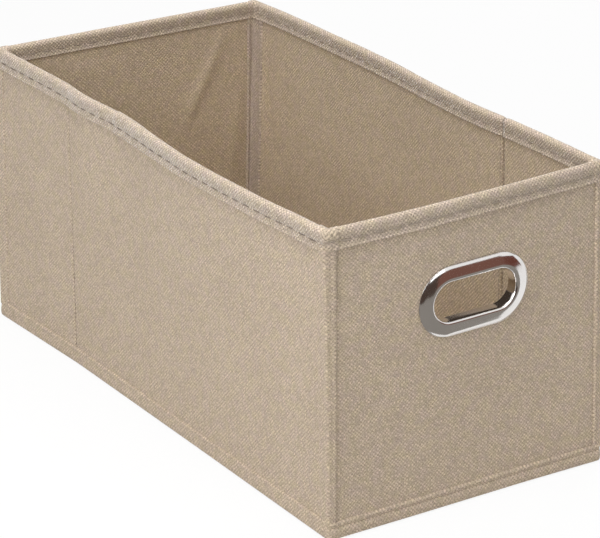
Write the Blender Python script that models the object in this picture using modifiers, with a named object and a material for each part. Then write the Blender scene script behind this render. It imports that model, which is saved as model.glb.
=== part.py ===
"""Collapsible fabric storage box with one metal-rimmed finger hole.

Six stiff wall panels stand on the edge of a soft bottom and hinge on their
fabric.  Two creases, at opposite corners of the box, let the walls fold flat
against each other, once the loose base has been lifted out.  The long axis is
Y, the finger hole is in the end at -Y, and the origin is at the middle of the
bottom.  All sizes are in metres.
"""

import math

import bmesh
import bpy
from mathutils import Matrix, Vector

# Box
LENGTH = 0.310
WIDTH = 0.150
HEIGHT = 0.150
CREASE_FROM_CORNER = 0.075

# Cloth, board and the gap kept between pieces that touch
CLOTH_THICK = 0.0005
WALL_BOARD_THICK = 0.0012
TOUCH_GAP = 0.0003

# Rim binding
RIM_HEIGHT = 0.0113
RIM_PROUD = 0.0003
RIM_ROUND = 0.0016
RIM_TOP_THICK = 0.0009
RIM_CORNER_FOLD = 0.0002
ROUND_STEPS = 4

# Bottom, and the soft hem that joins it to the walls
BOTTOM_THICK = 0.0008
HEM_TOP = 0.0070
HEM_ROUND = 0.0008

# Soft swell of the two long walls: none at their ends and hems, full at the
# rim.  Each pair is a share of the wall's run and a share of the full swell.
FRONT_SWELL = 0.0064
REAR_SWELL = 0.0066
FRONT_SWELL_SHARES = (
    (0, 0), (0.09, 0.45), (0.18, 0.82), (0.28, 0.95), (0.42, 1), (0.50, 1),
    (0.60, 0.82), (0.70, 0.50), (0.80, 0.22), (0.90, 0.08), (1, 0),
)
REAR_SWELL_SHARES = (
    (0, 0), (0.10, 0.30), (0.25, 0.52), (0.32, 0.70), (0.44, 0.97), (0.58, 1),
    (0.66, 1), (0.78, 0.94), (0.90, 0.80), (0.96, 0.50), (1, 0),
)
SWELL_ROWS = 3

# Hinges: inside each corner, and outside each crease
CORNER_HINGE_CLEARANCE = 0.0014
CREASE_HINGE_CLEARANCE = 0.0004
PANEL_END_GAP = 0.0002
CORNER_ROUND = 0.0015

# Seam tape along each inner corner
TAPE_WIDTH = 0.0080
TAPE_THICK = 0.0003

# Loose base
BASE_BOARD_THICK = 0.0024
BASE_SIDE_CLEARANCE = 0.0004
BASE_ROUND = 0.0030

# Finger hole handle
HOLE_LENGTH = 0.0448
HOLE_HEIGHT = 0.0188
HOLE_CENTRE_DROP = 0.048
FLANGE_WIDTH = 0.0077
FLANGE_PROUD = 0.0022
FLANGE_EDGE = 0.0005
FLANGE_SHOULDER = 0.0008
BARREL_WALL = 0.0008
WASHER_THICK = 0.0009
WASHER_WIDTH = 0.0060
END_ARC_STEPS = 12
FLANGE_ARC_STEPS = 8

# How far a cutter runs past what it cuts
CUT_OVERRUN = 0.0020

WALL_THICK = 2 * CLOTH_THICK + 2 * TOUCH_GAP + WALL_BOARD_THICK
WALL_LOW = HEM_TOP + TOUCH_GAP
HEM_LOW = BOTTOM_THICK + TOUCH_GAP
RIM_LOW = HEIGHT - RIM_HEIGHT
CLOTH_HIGH = RIM_LOW - TOUCH_GAP
BOARD_HIGH = HEIGHT - RIM_TOP_THICK - TOUCH_GAP
RIM_LEG = RIM_PROUD + CLOTH_THICK
CORNER_INSET = WALL_THICK + CORNER_HINGE_CLEARANCE
CREASE_OUTSET = RIM_PROUD + CREASE_HINGE_CLEARANCE
PANEL_START = CORNER_INSET + PANEL_END_GAP
CORNER_STRIP = PANEL_START - TOUCH_GAP
HALF_LENGTH = LENGTH / 2
HALF_WIDTH = WIDTH / 2
HOLE_CENTRE_HEIGHT = HEIGHT - HOLE_CENTRE_DROP

CARD = (0.36, 0.27, 0.17)
OUTER_CLOTH = (0.52, 0.42, 0.31)
INNER_CLOTH = (0.42, 0.33, 0.24)
BINDING_CLOTH = (0.58, 0.49, 0.38)
BOTTOM_CLOTH = (0.40, 0.32, 0.23)
CHROME = (0.80, 0.79, 0.78)


def new_collection(name):
    """Add a collection to the scene."""
    collection = bpy.data.collections.new(name)
    bpy.context.scene.collection.children.link(collection)
    return collection


def finish(name, colour, roughness, metallic=0.0):
    """Make a plain material with a colour, a roughness and a metallic value."""
    material = bpy.data.materials.new(name)
    material.use_nodes = True
    shader = material.node_tree.nodes["Principled BSDF"]
    shader.inputs["Base Color"].default_value = (*colour, 1.0)
    shader.inputs["Roughness"].default_value = roughness
    shader.inputs["Metallic"].default_value = metallic
    return material


def cloth(name, colour):
    """Make the matt material of one cloth piece."""
    return finish(name + "_cloth", colour, 0.95)


def card(name):
    """Make the material of one board."""
    return finish(name + "_card", CARD, 0.85)


def hinge(name, x, y, parent=None):
    """Make an empty on a vertical hinge axis, carried by another empty."""
    empty = bpy.data.objects.new(name, None)
    box.objects.link(empty)
    place = Vector((x, y, 0))
    if parent is not None:
        empty.parent = parent
        place -= Vector(parent["axis_at"])
    empty.location = place
    empty["axis_at"] = (x, y, 0)
    return empty


def carry(piece, carrier):
    """Let an empty carry a piece that already stands in its world place."""
    if carrier is None:
        return
    piece.parent = carrier
    piece.matrix_parent_inverse = Matrix.Translation(-Vector(carrier["axis_at"]))


def cut_across(bm, place, point, normal):
    """Cut a whole mesh through with a plane that is given in the world."""
    inverse = place.inverted()
    direction = inverse.to_3x3() @ Vector(normal)
    whole = bm.verts[:] + bm.edges[:] + bm.faces[:]
    bmesh.ops.bisect_plane(bm, geom=whole, plane_co=inverse @ Vector(point), plane_no=direction)


def block(name, low, high, collection=None):
    """Make a box between two opposite corners, with its origin in its middle."""
    low, high = Vector(low), Vector(high)
    size = Vector([abs(value) for value in high - low])
    bm = bmesh.new()
    bmesh.ops.create_cube(bm, size=1.0)
    bmesh.ops.scale(bm, vec=size, verts=bm.verts)
    mesh = bpy.data.meshes.new(name)
    bm.to_mesh(mesh)
    bm.free()
    piece = bpy.data.objects.new(name, mesh)
    piece.location = (low + high) / 2
    (collection or box).objects.link(piece)
    return piece


def arc(centre, radius, start, end, steps):
    """List the points of an arc, from one angle to another, in degrees."""
    points = []
    for step in range(steps + 1):
        angle = math.radians(start + (end - start) * step / steps)
        points.append((centre[0] + radius * math.cos(angle), centre[1] + radius * math.sin(angle)))
    return points


def stadium(length, height):
    """List the points of a slot with round ends, centred on zero."""
    radius = height / 2
    reach = (length - height) / 2
    right = arc((reach, 0), radius, -90, 90, END_ARC_STEPS)
    left = arc((-reach, 0), radius, 90, 270, END_ARC_STEPS)
    return right + left


def outline_curve(name, outline, collection, half_thick=0.0):
    """Make a flat closed curve from its outline, thickened both ways."""
    curve = bpy.data.curves.new(name, "CURVE")
    curve.dimensions = "2D"
    curve.fill_mode = "BOTH" if half_thick else "NONE"
    curve.extrude = half_thick
    spline = curve.splines.new("POLY")
    spline.points.add(len(outline) - 1)
    for point, (x, y) in zip(spline.points, outline):
        point.co = (x, y, 0, 1)
    spline.use_cyclic_u = True
    piece = bpy.data.objects.new(name, curve)
    collection.objects.link(piece)
    return piece


def as_mesh(piece):
    """Turn a curve into a welded mesh object of the same name and place."""
    bpy.context.view_layer.update()
    graph = bpy.context.evaluated_depsgraph_get()
    mesh = bpy.data.meshes.new_from_object(piece.evaluated_get(graph))
    bm = bmesh.new()
    bm.from_mesh(mesh)
    bmesh.ops.remove_doubles(bm, verts=bm.verts, dist=1e-6)
    bmesh.ops.recalc_face_normals(bm, faces=bm.faces)
    bm.to_mesh(mesh)
    bm.free()
    name = piece.name
    collection = piece.users_collection[0]
    matrix = piece.matrix_world.copy()
    bpy.data.objects.remove(piece)
    mesh.name = name
    solid = bpy.data.objects.new(name, mesh)
    solid.matrix_world = matrix
    collection.objects.link(solid)
    return solid


def hide_cutter(piece):
    """Mark a piece as a tool for cutting or joining only."""
    piece.hide_render = True
    piece.display_type = "WIRE"


def combine(piece, tool, operation):
    """Join another solid to a piece, or cut it out."""
    change = piece.modifiers.new(operation.lower(), "BOOLEAN")
    change.operation = operation
    change.solver = "EXACT"
    change.object = tool


def round_edges(piece, width, vertical_only=False, segments=2):
    """Round the edges of a box, or only its upright ones."""
    if vertical_only:
        weights = piece.data.attributes.new("bevel_weight_edge", "FLOAT", "EDGE")
        for edge in piece.data.edges:
            first, second = (piece.data.vertices[index].co for index in edge.vertices)
            upright = abs((first - second).z) > abs((first - second).x) + abs((first - second).y)
            weights.data[edge.index].value = 1.0 if upright else 0.0
    bevel = piece.modifiers.new("round", "BEVEL")
    bevel.width = width
    bevel.segments = segments
    bevel.limit_method = "WEIGHT" if vertical_only else "ANGLE"


class Wall:
    """One stiff panel of the box: where it stands and what carries it."""

    def __init__(self, name, outer_face, along, inward, start, end, carrier):
        """Keep the panel's outer face, its directions and its two ends."""
        self.name = name
        self.outer_face = Vector(outer_face)
        self.along = Vector(along)
        self.inward = Vector(inward)
        self.start = start
        self.end = end
        self.carrier = carrier

    def point(self, depth, run, height):
        """Give a point from its depth behind the outer face, run and height."""
        return self.outer_face + self.inward * depth + self.along * run + Vector((0, 0, height))

    def slab(self, suffix, depths, heights, material, runs=None):
        """Make a flat layer of the panel between two depths and two heights."""
        name = self.name + suffix
        first, last = runs or (self.start, self.end)
        low = self.point(depths[0], first, heights[0])
        high = self.point(depths[1], last, heights[1])
        piece = block(name, low, high)
        self.push_out(piece)
        carry(piece, self.carrier)
        piece.data.materials.append(material)
        return piece

    def push_out(self, piece):
        """Leave a layer flat; a swollen panel bends its layers here."""

    def build(self):
        """Make the panel's cloths, board, rim binding and hem."""
        board_depth = CLOTH_THICK + TOUCH_GAP
        lining_depth = WALL_THICK - CLOTH_THICK
        cloth_span = (WALL_LOW, CLOTH_HIGH)
        board_span = (WALL_LOW, BOARD_HIGH)
        outer = self.slab("_outer_cloth", (0, CLOTH_THICK), cloth_span, cloth(self.name, OUTER_CLOTH))
        board_depths = (board_depth, board_depth + WALL_BOARD_THICK)
        board = self.slab("_board", board_depths, board_span, card(self.name))
        inner_cloth = cloth(self.name + "_lining", INNER_CLOTH)
        lining = self.slab("_lining", (lining_depth, WALL_THICK), cloth_span, inner_cloth)
        binding = self.rim_binding()
        hem = self.hem()
        return outer, board, lining, binding, hem

    def rim_binding(self):
        """Make the folded band that closes the panel's upper edge."""
        outer, inner = -RIM_PROUD, WALL_THICK + RIM_PROUD
        round_low = HEIGHT - RIM_ROUND
        outline = [(outer, RIM_LOW)]
        outline += arc((outer + RIM_ROUND, round_low), RIM_ROUND, 180, 90, ROUND_STEPS)
        outline += arc((inner - RIM_ROUND, round_low), RIM_ROUND, 90, 0, ROUND_STEPS)
        outline += [(inner, RIM_LOW), (inner - RIM_LEG, RIM_LOW)]
        outline += [(inner - RIM_LEG, HEIGHT - RIM_TOP_THICK), (outer + RIM_LEG, HEIGHT - RIM_TOP_THICK)]
        outline += [(outer + RIM_LEG, RIM_LOW)]
        first, last = self.binding_runs()
        band = outline_curve(self.name + "_rim_binding", outline, box, (last - first) / 2)
        upright = Vector((0, 0, 1))
        turn = Matrix((self.inward, upright, self.inward.cross(upright))).transposed()
        middle = self.point(0, (first + last) / 2, 0)
        band.matrix_world = Matrix.Translation(middle) @ turn.to_4x4()
        band = as_mesh(band)
        self.push_out(band)
        band.data.materials.append(cloth(self.name + "_rim", BINDING_CLOTH))
        carry(band, self.carrier)
        return band

    def binding_runs(self):
        """Give the two ends of the rim binding."""
        return self.start, self.end

    def hem_runs(self):
        """Give the two ends of the hem."""
        return self.start, self.end

    def hem(self):
        """Make the soft edge that joins the panel to the bottom."""
        hem_cloth = cloth(self.name + "_hem", OUTER_CLOTH)
        piece = self.slab("_hem", (0, WALL_THICK), (HEM_LOW, HEM_TOP), hem_cloth, self.hem_runs())
        round_edges(piece, HEM_ROUND, segments=1)
        return piece


class LongPanel(Wall):
    """A panel of a long side: it may swell, and a seam tape joins it to an end."""

    def __init__(self, *place, swell=0.0, swell_shares=()):
        """Keep the panel's place, its full swell and how that is spread."""
        super().__init__(*place)
        self.swell = swell
        self.swell_shares = swell_shares

    def build(self):
        """Make the panel and the tape along its inner corner."""
        pieces = super().build()
        self.seam_tape(*self.tape_runs())
        return pieces

    def tape_runs(self):
        """Give the two ends of the tape, at the corner and short of it."""
        if self.end > HALF_LENGTH - CREASE_FROM_CORNER:
            return self.end - TAPE_WIDTH, self.end
        return self.start, self.start + TAPE_WIDTH

    def swell_at(self, run, height):
        """Give how far the panel stands out: it grows evenly from hem to rim."""
        rise = max(0, height - WALL_LOW) / (HEIGHT - WALL_LOW)
        place = min(1, max(0, (run - self.start) / (self.end - self.start)))
        for (before, low), (after, high) in zip(self.swell_shares, self.swell_shares[1:]):
            if place <= after:
                share = low + (high - low) * (place - before) / (after - before)
                return self.swell * rise * share
        return 0.0

    def swell_columns(self):
        """List the runs at which every layer bends, with both edges of the tape."""
        length = self.end - self.start
        columns = [self.start + length * share for share, _ in self.swell_shares[1:-1]]
        return columns + list(self.tape_runs())

    def push_out(self, piece):
        """Bend a flat layer outwards with the panel's swell, in flat facets."""
        if not self.swell:
            return
        place = piece.matrix_basis
        bm = bmesh.new()
        bm.from_mesh(piece.data)
        for run in self.swell_columns():
            cut_across(bm, place, self.point(0, run, 0), self.along)
        for row in range(1, SWELL_ROWS):
            height = WALL_LOW + (CLOTH_HIGH - WALL_LOW) * row / SWELL_ROWS
            cut_across(bm, place, (0, 0, height), (0, 0, 1))
        cut_across(bm, place, (0, 0, CLOTH_HIGH), (0, 0, 1))
        outwards = place.to_3x3().inverted() @ -self.inward
        for vertex in bm.verts:
            world = place @ vertex.co
            run = (world - self.outer_face).dot(self.along)
            vertex.co += outwards * self.swell_at(run, world.z)
        bmesh.ops.triangulate(bm, faces=bm.faces[:], quad_method="SHORT_EDGE")
        bm.to_mesh(piece.data)
        bm.free()

    def seam_tape(self, first, last):
        """Make the narrow tape that covers the seam of an inner corner."""
        depths = (WALL_THICK + TOUCH_GAP, WALL_THICK + TOUCH_GAP + TAPE_THICK)
        heights = (WALL_LOW, CLOTH_HIGH)
        tape_cloth = cloth(self.name + "_tape", INNER_CLOTH)
        return self.slab("_seam_tape", depths, heights, tape_cloth, (first, last))


class EndPanel(Wall):
    """A panel of a short side, whose cloth wraps both corners of the box."""

    def build(self):
        """Make the panel and what it carries round the two corners."""
        pieces = super().build()
        for side, label in ((-1, "_left"), (1, "_right")):
            self.corner_strip(side, label)
            self.corner_cap(pieces[3], side)
        return pieces

    def binding_runs(self):
        """Let the rim binding reach into the middle of both corner caps."""
        reach = HALF_WIDTH - CORNER_STRIP / 2
        return -reach, reach

    def hem_runs(self):
        """Let the hem reach the sides of the box."""
        return -HALF_WIDTH, HALF_WIDTH

    def corner_strip(self, side, label):
        """Make the upright roll of cloth on one outer corner."""
        strip_cloth = cloth(self.name + label + "_corner", OUTER_CLOTH)
        runs = (side * HALF_WIDTH, side * (HALF_WIDTH - CORNER_STRIP))
        suffix = label + "_corner_strip"
        piece = self.slab(suffix, (0, CORNER_STRIP), (WALL_LOW, CLOTH_HIGH), strip_cloth, runs)
        round_edges(piece, CORNER_ROUND, vertical_only=True)
        return piece

    def corner_cap(self, band, side):
        """Carry the rim binding round one corner of the box."""
        proud = RIM_PROUD + RIM_CORNER_FOLD
        low = self.point(-proud, side * (HALF_WIDTH + proud), RIM_LOW + RIM_CORNER_FOLD)
        high_run = side * (HALF_WIDTH - CORNER_STRIP)
        high = self.point(CORNER_STRIP, high_run, HEIGHT - RIM_CORNER_FOLD)
        cap = block(self.name + "_cap_tool", low, high, cutters)
        round_edges(cap, CORNER_ROUND)
        hide_cutter(cap)
        combine(band, cap, "UNION")


def finger_hole_cutter():
    """Make the slot that the handle's barrel passes through in the end wall."""
    clear = 2 * (BARREL_WALL + TOUCH_GAP)
    outline = stadium(HOLE_LENGTH + clear, HOLE_HEIGHT + clear)
    cutter = outline_curve("finger_hole_cutter", outline, cutters, WALL_THICK / 2 + CUT_OVERRUN)
    cutter.rotation_euler = (math.radians(90), 0, 0)
    cutter.location = (0, WALL_THICK / 2 - HALF_LENGTH, HOLE_CENTRE_HEIGHT)
    cutter = as_mesh(cutter)
    hide_cutter(cutter)
    return cutter


def ring(name, section, depth, carrier):
    """Sweep a section round the finger hole; the section starts at its edge."""
    path = outline_curve(name, stadium(HOLE_LENGTH, HOLE_HEIGHT), box)
    outward = [(-across, rise) for across, rise in section]
    profile = outline_curve(name + "_section", outward, cutters)
    path.data.bevel_mode = "OBJECT"
    path.data.bevel_object = profile
    path.rotation_euler = (math.radians(90), 0, 0)
    path.location = (0, depth - HALF_LENGTH, HOLE_CENTRE_HEIGHT)
    solid = as_mesh(path)
    bpy.data.objects.remove(profile)
    solid.data.shade_smooth()
    solid.data.set_sharp_from_angle(angle=math.radians(40))
    solid.data.materials.append(finish(name + "_chrome", CHROME, 0.12, 1.0))
    carry(solid, carrier)
    return solid


def flange_section():
    """Outline the handle's face: a crowned flange and the barrel behind it."""
    under = TOUCH_GAP
    crown_half = FLANGE_WIDTH / 2
    rise = FLANGE_PROUD - FLANGE_SHOULDER
    points = [(0, -barrel_depth())]
    for x, y in arc((crown_half, 0), 1.0, 180, 0, FLANGE_ARC_STEPS):
        across = crown_half + (x - crown_half) * crown_half
        share = across / FLANGE_WIDTH
        base = FLANGE_SHOULDER + (FLANGE_EDGE + under - FLANGE_SHOULDER) * share
        points.append((across, base + rise * y))
    points += [(FLANGE_WIDTH, under), (BARREL_WALL, under), (BARREL_WALL, -barrel_depth())]
    return points


def barrel_depth():
    """Give how far the barrel reaches behind the wall's outer face."""
    return WALL_THICK + TOUCH_GAP + WASHER_THICK


def washer_section():
    """Outline the flat washer that the barrel is closed over."""
    start = BARREL_WALL + TOUCH_GAP
    end = start + WASHER_WIDTH
    top = -WALL_THICK - TOUCH_GAP
    return [(start, top), (end, top), (end, top - WASHER_THICK), (start, top - WASHER_THICK)]


def bottom_cloth():
    """Make the soft bottom that the walls stand on."""
    low = (-HALF_WIDTH, -HALF_LENGTH, 0)
    high = (HALF_WIDTH, HALF_LENGTH, BOTTOM_THICK)
    piece = block("bottom_cloth", low, high)
    round_edges(piece, CORNER_ROUND, vertical_only=True)
    piece.data.materials.append(cloth("bottom", BOTTOM_CLOTH))
    return piece


def loose_base():
    """Make the base board and the cloth wrapped over it."""
    half_x = HALF_WIDTH - WALL_THICK - TOUCH_GAP - TAPE_THICK - BASE_SIDE_CLEARANCE
    half_y = HALF_LENGTH - barrel_depth() - BASE_SIDE_CLEARANCE
    low = BOTTOM_THICK + TOUCH_GAP
    skin = CLOTH_THICK + TOUCH_GAP
    top = low + BASE_BOARD_THICK + skin
    board_low = (skin - half_x, skin - half_y, low)
    board = block("base_board", board_low, (half_x - skin, half_y - skin, low + BASE_BOARD_THICK))
    round_edges(board, BASE_ROUND - skin, vertical_only=True)
    board.data.materials.append(card("base_board"))
    cover = block("base_cover", (-half_x, -half_y, low), (half_x, half_y, top))
    round_edges(cover, BASE_ROUND, vertical_only=True)
    pocket_low = (CLOTH_THICK - half_x, CLOTH_THICK - half_y, low - CUT_OVERRUN)
    pocket_high = (half_x - CLOTH_THICK, half_y - CLOTH_THICK, top - CLOTH_THICK)
    pocket = block("base_pocket_cutter", pocket_low, pocket_high, cutters)
    round_edges(pocket, BASE_ROUND - CLOTH_THICK, vertical_only=True)
    hide_cutter(pocket)
    combine(cover, pocket, "DIFFERENCE")
    cover.data.materials.append(cloth("base_cover", INNER_CLOTH))
    slide = hinge("base_slide", 0, 0)
    carry(board, slide)
    carry(cover, slide)
    return board, cover


for old in list(bpy.data.objects):
    bpy.data.objects.remove(old)

box = new_collection("storage_box")
cutters = new_collection("storage_box_cutters")

crease_y = HALF_LENGTH - CREASE_FROM_CORNER
wing_hinge = hinge("front_wing_hinge", -HALF_WIDTH - CREASE_OUTSET, crease_y)
far_hinge = hinge("far_end_hinge", CORNER_INSET - HALF_WIDTH, HALF_LENGTH - CORNER_INSET, wing_hinge)
rear_hinge = hinge("rear_wall_hinge", HALF_WIDTH - CORNER_INSET, HALF_LENGTH - CORNER_INSET, far_hinge)
near_hinge = hinge("near_end_hinge", CORNER_INSET - HALF_WIDTH, CORNER_INSET - HALF_LENGTH)
rear_wing_hinge = hinge("rear_wing_hinge", HALF_WIDTH - CORNER_INSET, CORNER_INSET - HALF_LENGTH, near_hinge)

front_face = (-HALF_WIDTH, 0, 0)
rear_face = (HALF_WIDTH, 0, 0)
long_start = PANEL_START - HALF_LENGTH
long_end = HALF_LENGTH - PANEL_START
short_end = HALF_WIDTH - PANEL_START
before_crease = crease_y - PANEL_END_GAP
after_crease = crease_y + PANEL_END_GAP

front_wall = LongPanel(
    "front_wall", front_face, (0, 1, 0), (1, 0, 0), long_start, before_crease, None,
    swell=FRONT_SWELL, swell_shares=FRONT_SWELL_SHARES,
)
front_wing = LongPanel("front_wing", front_face, (0, 1, 0), (1, 0, 0), after_crease, long_end, wing_hinge)
rear_wall = LongPanel(
    "rear_wall", rear_face, (0, 1, 0), (-1, 0, 0), -before_crease, long_end, rear_hinge,
    swell=REAR_SWELL, swell_shares=REAR_SWELL_SHARES,
)
rear_wing = LongPanel("rear_wing", rear_face, (0, 1, 0), (-1, 0, 0), long_start, -after_crease, rear_wing_hinge)
near_end = EndPanel("near_end", (0, -HALF_LENGTH, 0), (1, 0, 0), (0, 1, 0), -short_end, short_end, near_hinge)
far_end = EndPanel("far_end", (0, HALF_LENGTH, 0), (1, 0, 0), (0, -1, 0), -short_end, short_end, far_hinge)

for panel in (front_wall, front_wing, rear_wall, rear_wing, far_end):
    panel.build()
near_pieces = near_end.build()

hole_cutter = finger_hole_cutter()
for layer in near_pieces[:3]:
    combine(layer, hole_cutter, "DIFFERENCE")
ring("handle_face", flange_section(), 0, near_hinge)
ring("handle_washer", washer_section(), 0, near_hinge)

bottom_cloth()
loose_base()
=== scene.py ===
"""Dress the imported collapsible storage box: cloth over board, stitched rims, a chrome finger ring.

The pieces are worked out on a straight box, in the CAD model's own frame.  Every point then
goes through Posture.settle, which gives it the lean and the bows of the real box as it stands
on a table.  All sizes are in metres.
"""

import logging
import math
from dataclasses import dataclass, field
from enum import Enum

import bpy
import numpy as np
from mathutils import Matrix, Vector


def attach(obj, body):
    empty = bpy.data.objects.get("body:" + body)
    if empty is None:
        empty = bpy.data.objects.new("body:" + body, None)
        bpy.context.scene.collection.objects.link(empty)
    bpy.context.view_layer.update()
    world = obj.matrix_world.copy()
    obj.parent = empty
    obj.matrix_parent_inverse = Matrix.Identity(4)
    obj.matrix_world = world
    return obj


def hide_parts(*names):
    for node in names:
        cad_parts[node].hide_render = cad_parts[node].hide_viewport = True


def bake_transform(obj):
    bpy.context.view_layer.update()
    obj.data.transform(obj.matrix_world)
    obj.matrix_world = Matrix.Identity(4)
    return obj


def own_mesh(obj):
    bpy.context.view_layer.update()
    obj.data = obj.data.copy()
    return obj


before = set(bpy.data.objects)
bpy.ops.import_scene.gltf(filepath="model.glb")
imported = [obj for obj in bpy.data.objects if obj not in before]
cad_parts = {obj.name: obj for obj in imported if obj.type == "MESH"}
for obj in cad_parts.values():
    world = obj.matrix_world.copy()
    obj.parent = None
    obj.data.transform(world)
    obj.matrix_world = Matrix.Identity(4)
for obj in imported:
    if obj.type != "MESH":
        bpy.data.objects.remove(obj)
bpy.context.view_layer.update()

log = logging.getLogger("storage_box")

MM = 0.001
Points = np.ndarray
Pair = tuple[float, float]
Triple = tuple[float, float, float]
Outline = tuple[Pair, ...]
Socket = bpy.types.NodeSocket


@dataclass(frozen=True)
class BoxSizes:
    """The sizes that the pieces share with the CAD model."""

    length: float = 0.310
    width: float = 0.150
    height: float = 0.150
    crease_from_corner: float = 0.075
    wall: float = 0.0028
    cloth: float = 0.0005
    board: float = 0.0012
    gap: float = 0.0003
    hem: float = 0.0070
    panel_start: float = 0.0044
    end_gap: float = 0.0002

    @property
    def half_length(self) -> float:
        """Half the long side."""
        return self.length / 2

    @property
    def half_width(self) -> float:
        """Half the short side."""
        return self.width / 2

    @property
    def crease(self) -> float:
        """Where along the long side the front crease is."""
        return self.half_length - self.crease_from_corner


BOX = BoxSizes()


# Shapes as whole arrays


def mix(first: Points, last: Points, share: Points) -> Points:
    """Go from first to last by a share from 0 to 1."""
    return first + (last - first) * share


def ease(value: Points, low: float, high: float) -> Points:
    """Rise from 0 at low to 1 at high, level at both ends.

    Formula: with t the clipped share of the way, 3 t squared minus 2 t cubed.

    Args:
        value: where to look.
        low: the place where the rise starts.
        high: the place where it is complete.

    Returns:
        The risen share at each value.
    """
    share = np.clip((value - low) / (high - low), 0, 1)
    return share * share * (3 - 2 * share)


def hill(value: Points, centre: float, reach: float) -> Points:
    """Give a bell of height 1 at the centre: e to the minus square of distance over reach."""
    return np.exp(-(((value - centre) / reach) ** 2))


def through(knots: list[tuple[float, ...]], count: int) -> Points:
    """Draw a smooth line through some points.

    Formula: Catmull-Rom.  Between two points it is the cubic whose slope at each point is half
    the step between that point's neighbours.

    Args:
        knots: the points to pass, in order.
        count: how many points to give back for each step between two knots.

    Returns:
        An array of the points on the line, both ends included.
    """
    base = np.array(knots, float)
    slope = np.gradient(base, axis=0)
    step = np.linspace(0, 1, count, endpoint=False)[None, :, None]
    first, last = base[:-1, None, :], base[1:, None, :]
    leave, arrive = slope[:-1, None, :], slope[1:, None, :]
    square, cube = step**2, step**3
    line = (2 * cube - 3 * square + 1) * first + (cube - 2 * square + step) * leave
    line = line + (3 * square - 2 * cube) * last + (cube - square) * arrive
    return np.concatenate([line.reshape(-1, base.shape[1]), base[-1:]])


def offset_line(line: Points, distance: float) -> Points:
    """Move a plane line sideways, to the right of its direction of travel.

    Args:
        line: the points of the line, in two dimensions.
        distance: how far to move it.

    Returns:
        The moved points.
    """
    along = np.gradient(line, axis=0)
    along /= np.linalg.norm(along, axis=1, keepdims=True) + 1e-12
    return line + np.stack([along[:, 1], -along[:, 0]], axis=1) * distance


def lengths(line: Points) -> Points:
    """Give how far along a line each of its points is."""
    steps = np.linalg.norm(np.diff(line, axis=0), axis=1)
    return np.concatenate([[0.0], np.cumsum(steps)])


def samples(first: float, last: float, spacing: float) -> Points:
    """List evenly spaced values from first to last, about spacing apart."""
    return np.linspace(first, last, max(2, int(round(abs(last - first) / spacing)) + 1))


@dataclass
class Shell:
    """One closed surface: its vertices, its faces and where each vertex is on the cloth."""

    vertices: Points
    faces: Points
    on_cloth: Points

    def facing_out(self) -> "Shell":
        """Turn the faces round if they face inwards.

        Formula: a closed surface's volume is the sum over its triangles of a sixth of the
        triple product of the corners, and it is negative when the faces look inwards.

        Returns:
            This shell, or one with each face's corners in the other order.
        """
        a, b, c, d = (self.vertices[self.faces[:, i]] for i in range(4))
        volume = np.einsum("ij,ij->i", a, np.cross(b, c)).sum()
        volume += np.einsum("ij,ij->i", a, np.cross(c, d)).sum()
        if volume < 0:
            return Shell(self.vertices, self.faces[:, ::-1], self.on_cloth)
        return self


def quads(index: Points) -> Points:
    """Join a grid of vertex numbers into four-sided faces."""
    corners = (index[:-1, :-1], index[:-1, 1:], index[1:, 1:], index[1:, :-1])
    return np.stack([corner.ravel() for corner in corners], axis=1)


def slab(front: Points, back: Points, on_cloth: Points, round_trip: bool = False) -> Shell:
    """Close the space between two facing grids.

    Formula: both grids become faces, and each edge of the one is joined to the same edge of
    the other.

    Args:
        front: one grid of points, rows by columns by 3.
        back: the other grid, of the same size.
        on_cloth: rows by columns by 2, each point's place on the flat cloth.
        round_trip: whether the columns run round and close on the first.

    Returns:
        The closed shell.
    """
    rows, columns = front.shape[:2]
    size = rows * columns
    index = np.arange(size).reshape(rows, columns)
    if round_trip:
        around = np.concatenate([index, index[:, :1]], axis=1)
        edges = [around[0], around[-1][::-1]]
    else:
        around = index
        edges = [np.concatenate([index[0], index[1:, -1], index[-1, -2::-1], index[-2::-1, 0]])]
    faces = [quads(around), quads(around + size)[:, ::-1]]
    for edge in edges:
        first, last = edge[:-1], edge[1:]
        faces.append(np.stack([last, first, first + size, last + size], axis=1))
    vertices = np.concatenate([front.reshape(-1, 3), back.reshape(-1, 3)])
    spread = np.concatenate([on_cloth.reshape(-1, 2)] * 2)
    return Shell(vertices, np.concatenate(faces), spread)


def cloth_places(first: Points, second: Points) -> Points:
    """Spread two values over a grid as each point's place on the flat cloth."""
    return np.stack(np.broadcast_arrays(first, second), axis=-1)


def hoop(rings: Points, on_cloth: Points) -> Shell:
    """Close a grid both ways, so that it is a ring of tube."""
    rows, columns = rings.shape[:2]
    index = np.arange(rows * columns).reshape(rows, columns)
    index = np.concatenate([index, index[:, :1]], axis=1)
    index = np.concatenate([index, index[:1]], axis=0)
    return Shell(rings.reshape(-1, 3), quads(index), on_cloth.reshape(-1, 2))


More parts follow.
